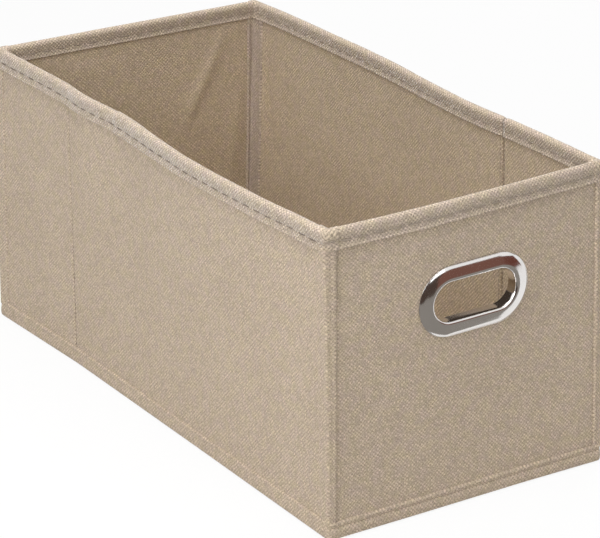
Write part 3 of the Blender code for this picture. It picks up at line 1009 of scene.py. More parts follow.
@dataclass
class WallPanel:
    """One panel's cloths, board, rim band, hem and stitches.

    The cuts are how far the cloths, and the boards, stop short of the panel's two ends.
    """

    panel: Panel
    seed: float = 0.0
    spacing: float = 2.0 * MM
    cuts: Pair = (0.0, 0.0)
    board_cuts: Pair = (0.6 * MM, 0.6 * MM)
    lining_cuts: Pair = (0.0, 0.0)
    wraps: float = 0.0
    folds: tuple[Fold, ...] = ()
    lip: Lip = Lip.LONG_OUTSIDE
    open_end: float | None = None

    @property
    def hold(self) -> str | Bend:
        """What carries the panel's pieces."""
        return self.panel.name

    def stands_for(self, layer: str) -> tuple[str, ...]:
        """Name the CAD node that a piece replaces."""
        return (f"{self.panel.name}_{layer}",)

    def fade(self, run: Points) -> Points:
        """Bring a swell down to nothing at the panel's two ends."""
        reach = 12 * MM
        low = ease(run, self.panel.start, self.panel.start + reach)
        return low * ease(-run, -self.panel.end, reach - self.panel.end)

    def build(self) -> None:
        """Make every piece of the panel."""
        self.outer_cloth()
        self.board()
        self.lining()
        self.rim_band()
        self.hem_band()
        self.rim_stitches()
        self.hem_stitches()

    def lay(self, depth: object, runs: Points, heights: Points, thick: float) -> Shell:
        """Make a layer of the panel.

        Formula: a grid of runs by heights at a depth that may change over it, and the same grid
        a thickness further in.

        Args:
            depth: a function of the grid's runs and heights, the layer's outer side.
            runs: the grid's places along the panel.
            heights: the grid's heights.
            thick: the layer's thickness.

        Returns:
            The closed layer.
        """
        height, run = np.meshgrid(heights, runs, indexing="ij")
        return slab(*self.sides(depth, run, height, thick), cloth_places(run, height))

    def sides(self, depth: object, run: Points, height: Points, thick: float) -> tuple[Points, Points]:
        """Give the outer and the inner side of a layer as points."""
        deep = depth(run, height)
        return self.panel.place(deep, run, height), self.panel.place(deep + thick, run, height)

    def add(self, name: str, shell: Shell, finish: Finish, layer: str) -> None:
        """Make a piece of the panel that replaces one of its CAD layers."""
        make_piece(f"{self.panel.name}_{name}", shell, finish, self.hold, self.stands_for(layer))

    def outer_relief(self, run: Points, height: Points) -> Points:
        """Give how far the outer cloth lies behind its place: a soft swell under 0.2 mm."""
        swell = uneven(run + height * 0.4, self.seed) * uneven(height - run * 0.2, self.seed + 2)
        return swell * 0.16 * MM * self.fade(run)

    def lining_relief(self, run: Points, height: Points) -> Points:
        """Give how far the lining stands into the box: a swell under 0.3 mm, and its folds."""
        swell = uneven(run - height * 0.3, self.seed + 5) * uneven(height + run * 0.3, self.seed + 1)
        lift = sum((fold.at(run, height) for fold in self.folds), np.zeros_like(run))
        return swell * 0.25 * MM * self.fade(run) + lift

    def runs(self, cuts: Pair, spacing: float) -> Points:
        """List the places along a layer that stops short of the panel's ends."""
        return samples(self.panel.start + cuts[0], self.panel.end - cuts[1], spacing)

    def cloth(self, depth: object, cuts: Pair) -> Shell:
        """Lay a cloth that reaches from behind the hem to behind the rim band.

        Args:
            depth: a function of runs and heights, the cloth's outer side.
            cuts: how much further than the panel's own cuts it stops short.

        Returns:
            The closed cloth.
        """
        heights = samples(BOX.hem - 1.0 * MM, BOX.height - 6.5 * MM, self.spacing)
        cuts = (self.cuts[0] + cuts[0], self.cuts[1] + cuts[1])
        return self.lay(depth, self.runs(cuts, self.spacing), heights, BOX.cloth)

    def outer_cloth(self) -> None:
        """Make the cloth that shows outside."""
        shell = self.cloth(self.outer_relief, (-self.wraps, -self.wraps))
        self.add("outer_weave", shell, WALL_CLOTH, "outer_cloth")

    def lining(self) -> None:
        """Make the cloth that shows inside."""

        def depth(run: Points, height: Points) -> Points:
            """Give the depth of the lining's outer side."""
            return BOX.wall - BOX.cloth + self.lining_relief(run, height)

        self.add("inner_weave", self.cloth(depth, self.lining_cuts), LINING_CLOTH, "lining")

    def board(self) -> None:
        """Make the stiff board between the cloths."""
        heights = samples(BOX.hem + 0.3 * MM, BOX.height - 1.6 * MM, 6 * MM)

        def depth(run: Points, height: Points) -> Points:
            """Give the depth of the board's outer side."""
            return np.full_like(run, BOX.cloth + BOX.gap)

        shell = self.lay(depth, self.runs(self.board_cuts, 4 * MM), heights, BOX.board - 0.2 * MM)
        self.add("card", shell, CARD, "board")

    def band(self, line: Points, runs: Points, lift: float, thick: float, swell: object) -> Shell:
        """Carry a band's cross-section along the panel.

        Formula: the line's own offset to the inside gives the band's thickness, and at each
        place along the panel the line is moved out along its normal by the swell there.

        Args:
            line: depths and heights of the band's outer side.
            runs: the places along the panel.
            lift: added to every height.
            thick: the band's thickness.
            swell: a function of the places that gives the extra thickness there.

        Returns:
            The closed band.
        """
        inside = offset_line(line, thick)
        normal = (line - inside) / thick
        extra = swell(runs)[:, None]
        depth = line[None, :, 0] + normal[None, :, 0] * extra
        height = line[None, :, 1] + normal[None, :, 1] * extra + lift
        run = runs[:, None]
        front = self.panel.place(depth, run, height)
        back = self.panel.place(inside[None, :, 0], run, inside[None, :, 1] + lift)
        return slab(front, back, cloth_places(run, lengths(line)))

    def rim_swell(self, runs: Points) -> Points:
        """Give the rim band's unevenness, and draw it in at an end that is open at a crease."""
        swell = uneven(runs, self.seed + 3) * 0.07 * MM
        return swell if self.open_end is None else swell - hill(runs, self.open_end, 1.1 * MM) * 0.42 * MM

    def rim_band(self) -> None:
        """Make the folded band over the panel's upper edge."""
        line = BANDS.rim(BOX.wall, self.lip)
        shell = self.band(line, self.runs(self.cuts, BAND_SPACING), BOX.height, RIM_THICK, self.rim_swell)
        self.add("rim_band", shell, BINDING_CLOTH, "rim_binding")

    def hem_band(self) -> None:
        """Make the folded edge that joins the panel to the bottom."""

        def swell(runs: Points) -> Points:
            """Give the hem's unevenness."""
            return uneven(runs, self.seed + 4) * 0.06 * MM

        line = BANDS.hem(sewn=self.lip is Lip.END_OUTSIDE)
        shell = self.band(line, self.runs(self.cuts, BAND_SPACING), 0.0, HEM_THICK, swell)
        self.add("hem_fold", shell, WALL_CLOTH, "hem")

    def sew(self, name: str, depth: float, height: float, sewing: StitchSizes, finish: Finish) -> None:
        """Sew a level row of stitches along the panel, on the band's swell.

        Args:
            name: the end of the piece's name.
            depth: how far behind the outer face the thread lies where nothing swells.
            height: the row's height.
            sewing: how the row is sewn.
            finish: what the thread is made of.
        """
        first, last = self.panel.start + self.cuts[0], self.panel.end - self.cuts[1]
        count = int((last - first) / sewing.pitch)
        middles = first + (np.arange(count) + 0.5) * (last - first) / count
        wander = uneven(middles * 3, self.seed + depth * 900) * 0.12 * MM
        side = 1 if depth > BOX.wall / 2 else -1
        swell = self.rim_swell(middles) if height > BOX.height / 2 else 0.0
        points = self.panel.place(depth + side * swell, middles, height + wander)
        along = np.tile(np.array([*self.panel.along, 0.0]), (count, 1))
        outward = np.tile(np.array([*self.panel.inward, 0.0]) * side, (count, 1))
        shell = stitch_run(points, along, outward, sewing.length, sewing.thick)
        make_piece(f"{self.panel.name}_{name}", shell, finish, self.hold)

    def rim_stitches(self) -> None:
        """Sew the rim band on, outside and inside."""
        # The long walls' rim stitches get the dark thread, whose colour carries painted shade of the stitch holes.
        thread = RIM_THREAD_AND_HOLE_SHADE if self.lip is Lip.LONG_OUTSIDE else PALE_THREAD
        self.sew("rim_stitches_out", ROWS.rim_outside, BOX.height - self.lip.sewn * MM, RIM_SEWING, thread)
        inside = BOX.height - Lip.INSIDE.sewn * MM
        self.sew("rim_stitches_in", ROWS.rim_inside, inside, RIM_SEWING, INNER_THREAD)

    def hem_stitches(self) -> None:
        """Sew the hem through, just above the floor."""
        if self.lip is Lip.END_OUTSIDE:
            self.sew("hem_stitches", ROWS.hem_drawn_in, ROWS.hem_height, HEM_SEWING, SEAM_THREAD)
        else:
            self.sew("hem_stitches", ROWS.hem_plain, ROWS.hem_height, HEM_SEWING, PALE_THREAD)


@dataclass
class FrontWall(WallPanel):
    """The front long wall, with the join of its rim band and a faint upright imprint."""

    join: float = 0.0335
    imprint: float = 0.005

    def outer_relief(self, run: Points, height: Points) -> Points:
        """Add the imprint: a low upright ridge with a hollow beside it."""
        ridge = hill(run, self.imprint, 1.2 * MM) * -0.22 * MM
        hollow = hill(run, self.imprint + 3.2 * MM, 2.2 * MM) * 0.16 * MM
        return super().outer_relief(run, height) + ridge + hollow

    def rim_swell(self, runs: Points) -> Points:
        """Add the join: the band's one end lies over its other end and thins out away from it."""
        under = ease(self.join - runs, 0, 0.8 * MM) * ease(runs - self.join, -60 * MM, -8 * MM)
        return super().rim_swell(runs) + under * 0.45 * MM


def upright_stitches(line: Points, out: Triple, sewing: StitchSizes) -> Shell:
    """Sew a row of stitches straight up.

    Args:
        line: a function of heights that gives points on the straight box.
        out: the direction that the thread's arch rises in.
        sewing: how the row is sewn.

    Returns:
        The shell of the stitches.
    """
    low, high = BOX.hem + 2 * MM, BOX.height - 2.5 * MM
    count = int((high - low) / sewing.pitch)
    middles = low + (np.arange(count) + 0.5) * (high - low) / count
    along = np.tile([0.0, 0.0, 1.0], (count, 1))
    return stitch_run(line(middles), along, np.tile(out, (count, 1)), sewing.length, sewing.thick)


@dataclass
class CreaseStrip(WallPanel):
    """The cloth of the front crease, which bends between the two panels beside it."""

    beside: tuple[str, str] = ("front_wall", "front_wing")

    def build(self) -> None:
        """Make the strip's cloths, its bands and its upright stitches."""
        super().build()
        self.crease_stitches()

    def board(self) -> None:
        """Leave the board out, because none crosses the crease."""

    @property
    def hold(self) -> Bend:
        """Bend across the crease, from one end of the strip to the other."""
        start = self.panel.place(0.0, self.panel.start, 0.0)
        end = self.panel.place(0.0, self.panel.end, 0.0)
        return Bend(*self.beside, tuple(start), tuple(end))

    def stands_for(self, layer: str) -> tuple[str, ...]:
        """The strip replaces no CAD node."""
        return ()

    @property
    def middle(self) -> float:
        """Where the crease is along the wall."""
        return (self.panel.start + self.panel.end) / 2

    def outer_relief(self, run: Points, height: Points) -> Points:
        """Draw the cloth in along the crease: a bell, shallower higher up, with a low lip beside it."""
        depth = mix(0.42, 0.26, ease(height, 40 * MM, 90 * MM)) * MM
        return hill(run, self.middle, 0.9 * MM) * depth - hill(run, self.middle + 2.2 * MM, 1.0 * MM) * 0.10 * MM

    def lining_relief(self, run: Points, height: Points) -> Points:
        """Draw the lining in along the crease."""
        return hill(run, self.middle, 0.9 * MM) * -0.35 * MM

    def rim_swell(self, runs: Points) -> Points:
        """Draw the band in at the crease."""
        return super().rim_swell(runs) - hill(runs, self.middle, 0.8 * MM) * 0.30 * MM

    def crease_stitches(self) -> None:
        """Sew the crease through, outside and inside."""
        side = self.panel.inward
        for label, depth, turn in (("out", ROWS.crease_outside, -1), ("in", ROWS.crease_inside, 1)):
            out = (side[0] * turn, side[1] * turn, 0.0)

            def line(heights: Points) -> Points:
                """Give the row's points at these heights."""
                return self.panel.place(depth, self.middle, heights)

            shell = upright_stitches(line, out, SEAM_SEWING)
            make_piece(f"{self.panel.name}_stitches_{label}", shell, SEAM_THREAD, self.hold)


@dataclass
class CreaseEdge:
    """The cloth that closes a panel's end at the rear crease, where the ring of walls opens."""

    panel: Panel
    at_start: bool
    plan: Outline = (
        (2.60, 2.62), (1.90, 2.86), (1.30, 2.84), (0.75, 2.66), (0.38, 2.25),
        (0.18, 1.50), (0.10, 0.80), (0.10, 0.10),
    )

    def build(self) -> None:
        """Make the edge and its upright stitches."""
        line = through(list(self.plan), 2) * MM
        inside = line + np.stack([np.full(len(line), 0.4 * MM), np.full(len(line), -0.25 * MM)], axis=1)
        inside[:, 1] = np.maximum(inside[:, 1], 0.05 * MM)
        heights = samples(BOX.hem - 5 * MM, BOX.height - 1.5 * MM, 3 * MM)[:, None]
        front = self.place(line[None, :, 0], line[None, :, 1], heights)
        back = self.place(inside[None, :, 0], inside[None, :, 1], heights)
        shell = slab(front, back, cloth_places(lengths(line), heights))
        make_piece(self.panel.name + "_crease_edge", shell, LINING_CLOTH, self.panel.name)

        def row(places: Points) -> Points:
            """Give the row's points at these heights."""
            return self.place(1.45 * MM, 2.86 * MM, places)

        stitches = upright_stitches(row, (*self.panel.inward, 0.0), SEAM_SEWING)
        make_piece(self.panel.name + "_crease_stitches", stitches, CREASE_THREAD, self.panel.name)

    def place(self, from_crease: Points, depth: Points, height: Points) -> Points:
        """Give points from the panel's end, the depth behind its face and the height."""
        run = self.panel.start + from_crease if self.at_start else self.panel.end - from_crease
        return self.panel.place(depth, run, height)


def stadium(length: float, height: float, steps: int) -> Points:
    """Draw a slot with round ends as a closed line, starting at the middle of the top.

    Formula: equal steps along two straights and two half circles.

    Args:
        length: the slot's whole length.
        height: its height.
        steps: how many points to give.

    Returns:
        The points, each with across and up.
    """
    radius, reach = height / 2, (length - height) / 2
    whole = 4 * reach + 2 * math.pi * radius
    far = (np.arange(steps) + 0.5) / steps * whole
    corners = np.cumsum([reach, math.pi * radius, 2 * reach, math.pi * radius])
    turn = np.clip((far - corners[0]) / radius, 0, math.pi) + np.clip((far - corners[2]) / radius, 0, math.pi)
    x = reach * np.where(turn < math.pi, 1, -1) + radius * np.sin(turn)
    z = radius * np.cos(turn)
    on_top = (far < corners[0]) | (far > corners[3])
    along_top = np.where(far < corners[0], far, far - whole)
    x = np.where(on_top, along_top, x)
    under = (far > corners[1]) & (far < corners[2])
    x = np.where(under, reach - (far - corners[1]), x)
    z = np.where(on_top, radius, np.where(under, -radius, z))
    return np.stack([x, z], axis=1)


def frame_line(low: Points, high: Points, like: Points, centre: Points) -> Points:
    """Draw the points of a rectangle that lie in the same directions as those of a slot.

    Formula: from the centre, each slot point's direction is stretched until it meets a side.
    The four points nearest to a corner are then moved on to it.

    Args:
        low: the rectangle's lowest corner.
        high: its highest corner.
        like: the slot's points about the centre.
        centre: the place that the directions start from.

    Returns:
        The points on the rectangle.
    """
    reach = np.where(like > 0, high - centre, centre - low)
    scale = np.min(reach / np.maximum(np.abs(like), 1e-9), axis=1, keepdims=True)
    points = centre + like * scale
    for across in (low[0], high[0]):
        for up in (low[1], high[1]):
            corner = np.array([across, up])
            nearest = np.argmin(np.linalg.norm(points - corner, axis=1))
            points[nearest] = corner
    return points


@dataclass(frozen=True)
class HandleSizes:
    """The finger hole and the metal ring round it."""

    hole_length: float = 0.0448
    hole_height: float = 0.0188
    centre_across: float = 0.0017
    centre_height: float = 0.102
    clear: float = 0.0011
    steps: int = 168
    face: Outline = (
        (0.00, -4.00), (0.00, -2.40), (0.02, -0.20), (0.12, 0.80), (0.42, 1.60),
        (1.00, 2.06), (1.90, 2.16), (3.20, 1.96), (4.60, 1.66), (5.80, 1.36),
        (6.70, 0.98), (7.40, 0.58), (7.70, 0.42), (7.30, 0.30), (4.00, 0.30),
        (1.10, 0.28), (0.80, -0.10), (0.80, -4.00), (0.40, -4.14),
    )
    washer: Outline = (
        (1.10, -3.10), (6.90, -3.10), (7.10, -3.30), (6.80, -3.80), (4.00, -4.10),
        (1.60, -4.10), (1.10, -3.90),
    )


@dataclass
class EndPanel(WallPanel):
    """A short end, whose outer cloth is drawn in at the seams beside its two corners."""

    lip: Lip = Lip.END_OUTSIDE
    seam: float = SEAM_PLACE

    def outer_relief(self, run: Points, height: Points) -> Points:
        """Draw the cloth in beside both corners, down to the corner strips' seams."""
        from_side = BOX.half_width - np.abs(run) - seam_lean(height)
        return super().outer_relief(run, height) + 0.26 * MM * (1 - ease(from_side, self.seam, self.seam + 1.4 * MM))

    def rim_swell(self, runs: Points) -> Points:
        """Draw the band in just past the corner caps."""
        from_side = BOX.half_width - np.abs(runs)
        return super().rim_swell(runs) - hill(from_side, self.seam + 1.1 * MM, 0.6 * MM) * 0.22 * MM


@dataclass
class HandleEnd(EndPanel):
    """The near end: its layers have the finger hole, and it carries the metal ring."""

    sizes: HandleSizes = field(default_factory=HandleSizes)

    def build(self) -> None:
        """Make the panel's pieces and the handle."""
        super().build()
        for name, section, count, node in (
            ("finger_ring", self.sizes.face, 4, "handle_face"),
            ("finger_ring_washer", self.sizes.washer, 3, "handle_washer"),
        ):
            make_piece(name, self.ring(section, count), CHROME, self.panel.name, (node,), sharp=60)

    def lay(self, depth: object, runs: Points, heights: Points, thick: float) -> Shell:
        """Make a layer between the same runs and heights, with the finger hole in it.

        Formula: rings of points go from the hole's slot to the layer's rectangle, in line
        between the two, and close together near the hole.

        Args:
            depth: a function of runs and heights, the layer's outer side.
            runs: places along the panel, of which the first and the last count.
            heights: heights, of which the first and the last count.
            thick: the layer's thickness.

        Returns:
            The closed layer.
        """
        size = self.sizes
        low, high = np.array([runs[0], heights[0]]), np.array([runs[-1], heights[-1]])
        centre = np.array([size.centre_across, size.centre_height])
        slot = stadium(size.hole_length + 2 * size.clear, size.hole_height + 2 * size.clear, size.steps)
        outer = frame_line(low, high, slot, centre)
        even = np.linspace(0, 1, 44)[:, None, None]
        share = mix(even, (1 - np.cos(even * math.pi)) / 2, 0.75)
        flat = mix((slot + centre)[None], outer[None], share)
        return slab(*self.sides(depth, flat[..., 0], flat[..., 1], thick), flat, round_trip=True)

    def ring(self, section: Outline, count: int) -> Shell:
        """Carry a closed cross-section round the finger hole.

        Formula: each point of the section goes round the slot, moved out from it by its
        first value and out of the wall by its second.

        Args:
            section: distance out from the hole's edge and out of the wall, in mm.
            count: how many points each step of the section gets.

        Returns:
            The closed ring.
        """
        size = self.sizes
        line = through([*section, section[0]], count)[:-1] * MM
        slot = stadium(size.hole_length, size.hole_height, size.steps)
        reach = (size.hole_length - size.hole_height) / 2
        spine = np.stack([np.clip(slot[:, 0], -reach, reach), np.zeros(len(slot))], axis=1)
        away = (slot - spine) / (size.hole_height / 2)
        flat = slot[:, None, :] + away[:, None, :] * line[None, :, :1]
        depth = np.broadcast_to(-line[None, :, 1], flat.shape[:2])
        points = self.panel.place(depth, flat[..., 0] + size.centre_across, flat[..., 1] + size.centre_height)
        return hoop(points, flat)

# Corners and creases


@dataclass(frozen=True)
class Corner:
    """One upright corner: its end and side, and the long panel that meets the end there."""

    end: str
    side: str
    long_panel: str

    @property
    def name(self) -> str:
        """The start of the names of the corner's pieces."""
        return f"{self.end}_{self.side}"

    @property
    def end_panel(self) -> str:
        """The body of the end panel."""
        return self.end + "_end"

    @property
    def across(self) -> int:
        """Which way the corner lies across the box."""
        return -1 if self.side == "left" else 1

    @property
    def along(self) -> int:
        """Which way the corner lies along the box."""
        return -1 if self.end == "near" else 1

    def place(self, from_end: Points, from_side: Points, height: Points) -> Points:
        """Give points from the end's outer face, the long side's outer face and the height."""
        from_end, from_side, height = np.broadcast_arrays(from_end, from_side, height)
        x = self.across * (BOX.half_width - from_side)
        y = self.along * (BOX.half_length - from_end)
        return np.stack([x, y, height], axis=-1).astype(float)

    def bend(self, long_hold: float, end_hold: float) -> Bend:
        """Give the bend between the long panel, whose hold ends at one place, and the end, whose hold starts at
        another.
        """
        start = self.place(long_hold, 0.0, 0.0)
        end = self.place(0.0, end_hold, 0.0)
        return Bend(self.long_panel, self.end_panel, tuple(start), tuple(end))


def seam_lean(height: Points) -> Points:
    """Give how much closer to its corner a seam runs near the foot: up to 0.9 mm, in line with height."""
    return -0.9 * MM * (1 - np.clip(height / BOX.height, 0, 1))


@dataclass
class CornerPieces:
    """The cloth strip, the rim cap, the inner tape and the stitches of one corner."""

    corner: Corner
    wrap: Outline = (
        (7.20, 0.20), (6.60, -0.04), (5.60, -0.13), (4.20, -0.20), (3.00, -0.28),
        (2.00, -0.38), (1.10, -0.50), (0.30, -0.58), (-0.08, -0.56), (-0.30, -0.36),
        (-0.36, 0.05), (-0.36, 0.80), (-0.34, 1.60), (-0.46, 2.30), (-0.62, 2.90),
        (-0.62, 3.40), (-0.40, 3.80), (-0.02, 4.06), (0.36, 4.16),
    )
    hold: float = 5.6 * MM
    cap_ends: Pair = (SEAM_PLACE, 4.9 * MM)
    inner_cap_ends: Pair = (8.6 * MM, 6.6 * MM)
    proud: float = 0.32 * MM
    hem_proud: float = 0.05 * MM
    tape_sides: Pair = (-1.2 * MM, 11.2 * MM)
    tape_shift: float = 3.0 * MM
    tape_half: Outline = (
        (0.0, -0.1), (0.01, 0.75), (0.04, 1.05), (0.09, 0.95), (0.15, 0.55),
        (0.25, 0.38), (0.35, 0.33), (0.45, 0.32),
    )

    def build(self) -> None:
        """Make every piece of the corner."""
        self.strip()
        self.cap()
        self.tape()
        self.stitches()

    def strip(self) -> None:
        """Make the long side's cloth where it wraps on to the end, up to its seam.

        Formula: the plan line of the wrap is carried up, lower at the foot and leaning with
        the seam, and its own offset to the inside closes it.
        """
        line = through(list(self.wrap), 3) * MM
        inside = offset_line(line, -0.40 * MM)
        heights = samples(7.0 * MM, BOX.height - 8.6 * MM, 2 * MM)[:, None]

        def carry(plan: Points) -> Points:
            """Carry a plan line up the corner."""
            full = 0.55 + 0.45 * ease(heights, 6 * MM, 26 * MM)
            over = np.clip(plan[None, :, 1] / SEAM_PLACE, 0, 1)
            from_side = plan[None, :, 1] + seam_lean(heights) * over
            from_end = np.where(plan[None, :, 0] < 0, plan[None, :, 0] * full, plan[None, :, 0])
            return self.corner.place(from_end, from_side, heights)

        front, back = carry(line), carry(inside)
        shell = slab(front, back, cloth_places(lengths(line), heights))
        bend = self.corner.bend(self.hold, self.hold)
        replaced = (f"{self.corner.end_panel}_{self.corner.side}_corner_strip",)
        make_piece(self.corner.name + "_corner_strip", shell, WALL_CLOTH, bend, replaced)

    def rails(self, count: int) -> tuple[Points, Points]:
        """Draw the plan of the corner at the walls' outer and inner faces.

        Formula: the outer rail runs along the long side, round a small quarter circle and
        along the end.  The inner rail has a sharp corner.  Both have as many points.

        Args:
            count: how many points each straight stretch gets.

        Returns:
            The outer and the inner rail, each as distance from the end and from the side.
        """
        radius, wall = 1.1 * MM, BOX.wall
        turn = np.radians(np.linspace(0, 90, 9))
        arc = np.stack([radius * (1 - np.sin(turn)), radius * (1 - np.cos(turn))], axis=1)

        def straight(first: float, last: float, level: float) -> Points:
            """Draw a straight stretch of rail."""
            return np.stack([np.linspace(first, last, count + 1), np.full(count + 1, level)], axis=1)

        outer_end = straight(radius, self.cap_ends[1], 0.0)[:, ::-1]
        outer = np.concatenate([straight(self.cap_ends[0], radius, 0.0), arc[1:-1], outer_end])
        inner_end = straight(wall, self.inner_cap_ends[1], wall)[:, ::-1]
        inner = np.concatenate([straight(self.inner_cap_ends[0], wall, wall), np.full((7, 2), wall), inner_end])
        return outer, inner

    def sweep(self, lines: tuple[Points, Points], lift: float, thick: float, proud: float) -> Shell:
        """Carry a band's cross-section round the corner.

        Formula: the section changes in line from the long side's to the end's.  At each place
        along the two rails, its depth goes from the outer rail to the inner one in line, and
        beyond both.  Inside, and outside on the end, it stands a little proud.

        Args:
            lines: the band's depths and heights on the long side and on the end.
            lift: added to every height.
            thick: the band's thickness.
            proud: how far it stands out over the bands beside it.

        Returns:
            The closed band.
        """
        outer, inner = self.rails(6)
        share = np.linspace(0, 1, len(outer))[:, None, None]
        line = mix(lines[0][None], lines[1][None], ease(share, 0.35, 0.75))
        inside = np.stack([offset_line(row, thick) for row in line])
        within = np.clip(line[..., :1] / BOX.wall, 0, 1)
        extra = proud * np.maximum(within, ease(share, 0.6, 0.8))
        line = line + (line - inside) / thick * extra

        def carry(profile: Points) -> Points:
            """Place depths and heights between the two rails."""
            across = profile[..., 0, None] / BOX.wall
            plan = outer[:, None, :] + (inner - outer)[:, None, :] * np.clip(across, 0, 1)
            inward = np.array([0.0, 1.0]) * (1 - share) + np.array([1.0, 0.0]) * share
            corner = share * (1 - share) * 4
            inward = inward + corner * 0.25
            beyond = (profile[..., 0, None] - np.clip(profile[..., 0, None], 0, BOX.wall)) * inward
            plan = plan + beyond
            return self.corner.place(plan[..., 0], plan[..., 1], profile[..., 1] + lift)

        return slab(carry(line), carry(inside), cloth_places(lengths(outer)[:, None], lengths(lines[0])))

    def cap(self) -> None:
        """Make the rim band and the hem where they turn the corner."""
        bend = self.corner.bend(BOX.panel_start, BOX.panel_start)
        rims = (BANDS.rim(BOX.wall, Lip.LONG_OUTSIDE), BANDS.rim(BOX.wall, Lip.END_OUTSIDE))
        shell = self.sweep(rims, BOX.height, RIM_THICK, self.proud)
        make_piece(self.corner.name + "_rim_corner", shell, BINDING_CLOTH, bend)
        hems = (BANDS.hem(sewn=False), BANDS.hem(sewn=True))
        shell = self.sweep(hems, 0.0, HEM_THICK, self.hem_proud)
        make_piece(self.corner.name + "_hem_corner", shell, WALL_CLOTH, bend)

    def tape(self) -> None:
        """Make the seam tape over the inner corner, which leans towards the end at its top.

        Formula: with s the way round the corner, the distance from each wall is half of s, or
        of minus s, plus the root of s squared and a small radius squared: a hyperbola.  The
        tape's thickness has a low ridge at each of its two folded edges.
        """
        heights = samples(BOX.hem + 0.5 * MM, BOX.height - 7.5 * MM, 3 * MM)[:, None]
        across, thick = np.array([*self.tape_half, *((1 - way, rise) for way, rise in self.tape_half[::-1])]).T
        shift = self.tape_shift * (heights / BOX.height - 0.1)
        way = mix(self.tape_sides[0], self.tape_sides[1], across)[None, :] - shift
        root = np.sqrt(way**2 + (1.3 * MM) ** 2)
        on_side = ease(way, -1.2 * MM, 1.2 * MM)

        def carry(lift: Points) -> Points:
            """Place the tape's points, lifted off the two walls."""
            from_end = BOX.wall + (way + root) / 2 + lift * (1 - on_side)
            from_side = BOX.wall + (root - way) / 2 + lift * on_side
            return self.corner.place(from_end, from_side, heights)

        front, back = carry(thick[None, :] * MM), carry(np.full((1, len(across)), -0.15 * MM))
        shell = slab(front, back, cloth_places(way, heights))
        bend = self.corner.bend(BOX.panel_start, BOX.panel_start)
        replaced = (self.corner.long_panel + "_seam_tape",)
        make_piece(self.corner.name + "_inner_tape", shell, TAPE_CLOTH, bend, replaced)

    def stitches(self) -> None:
        """Sew the strip's seam: one upright row on the end, in its groove."""

        def row(places: Points) -> Points:
            """Give the row's points at these heights."""
            return self.corner.place(ROWS.corner, SEAM_PLACE - 0.04 * MM + seam_lean(places), places)

        shell = upright_stitches(row, (0.0, float(self.corner.along), 0.0), SEAM_SEWING)
        bend = self.corner.bend(self.hold, self.hold)
        make_piece(self.corner.name + "_corner_stitches", shell, SEAM_THREAD, bend)


# The loose base and the bottom


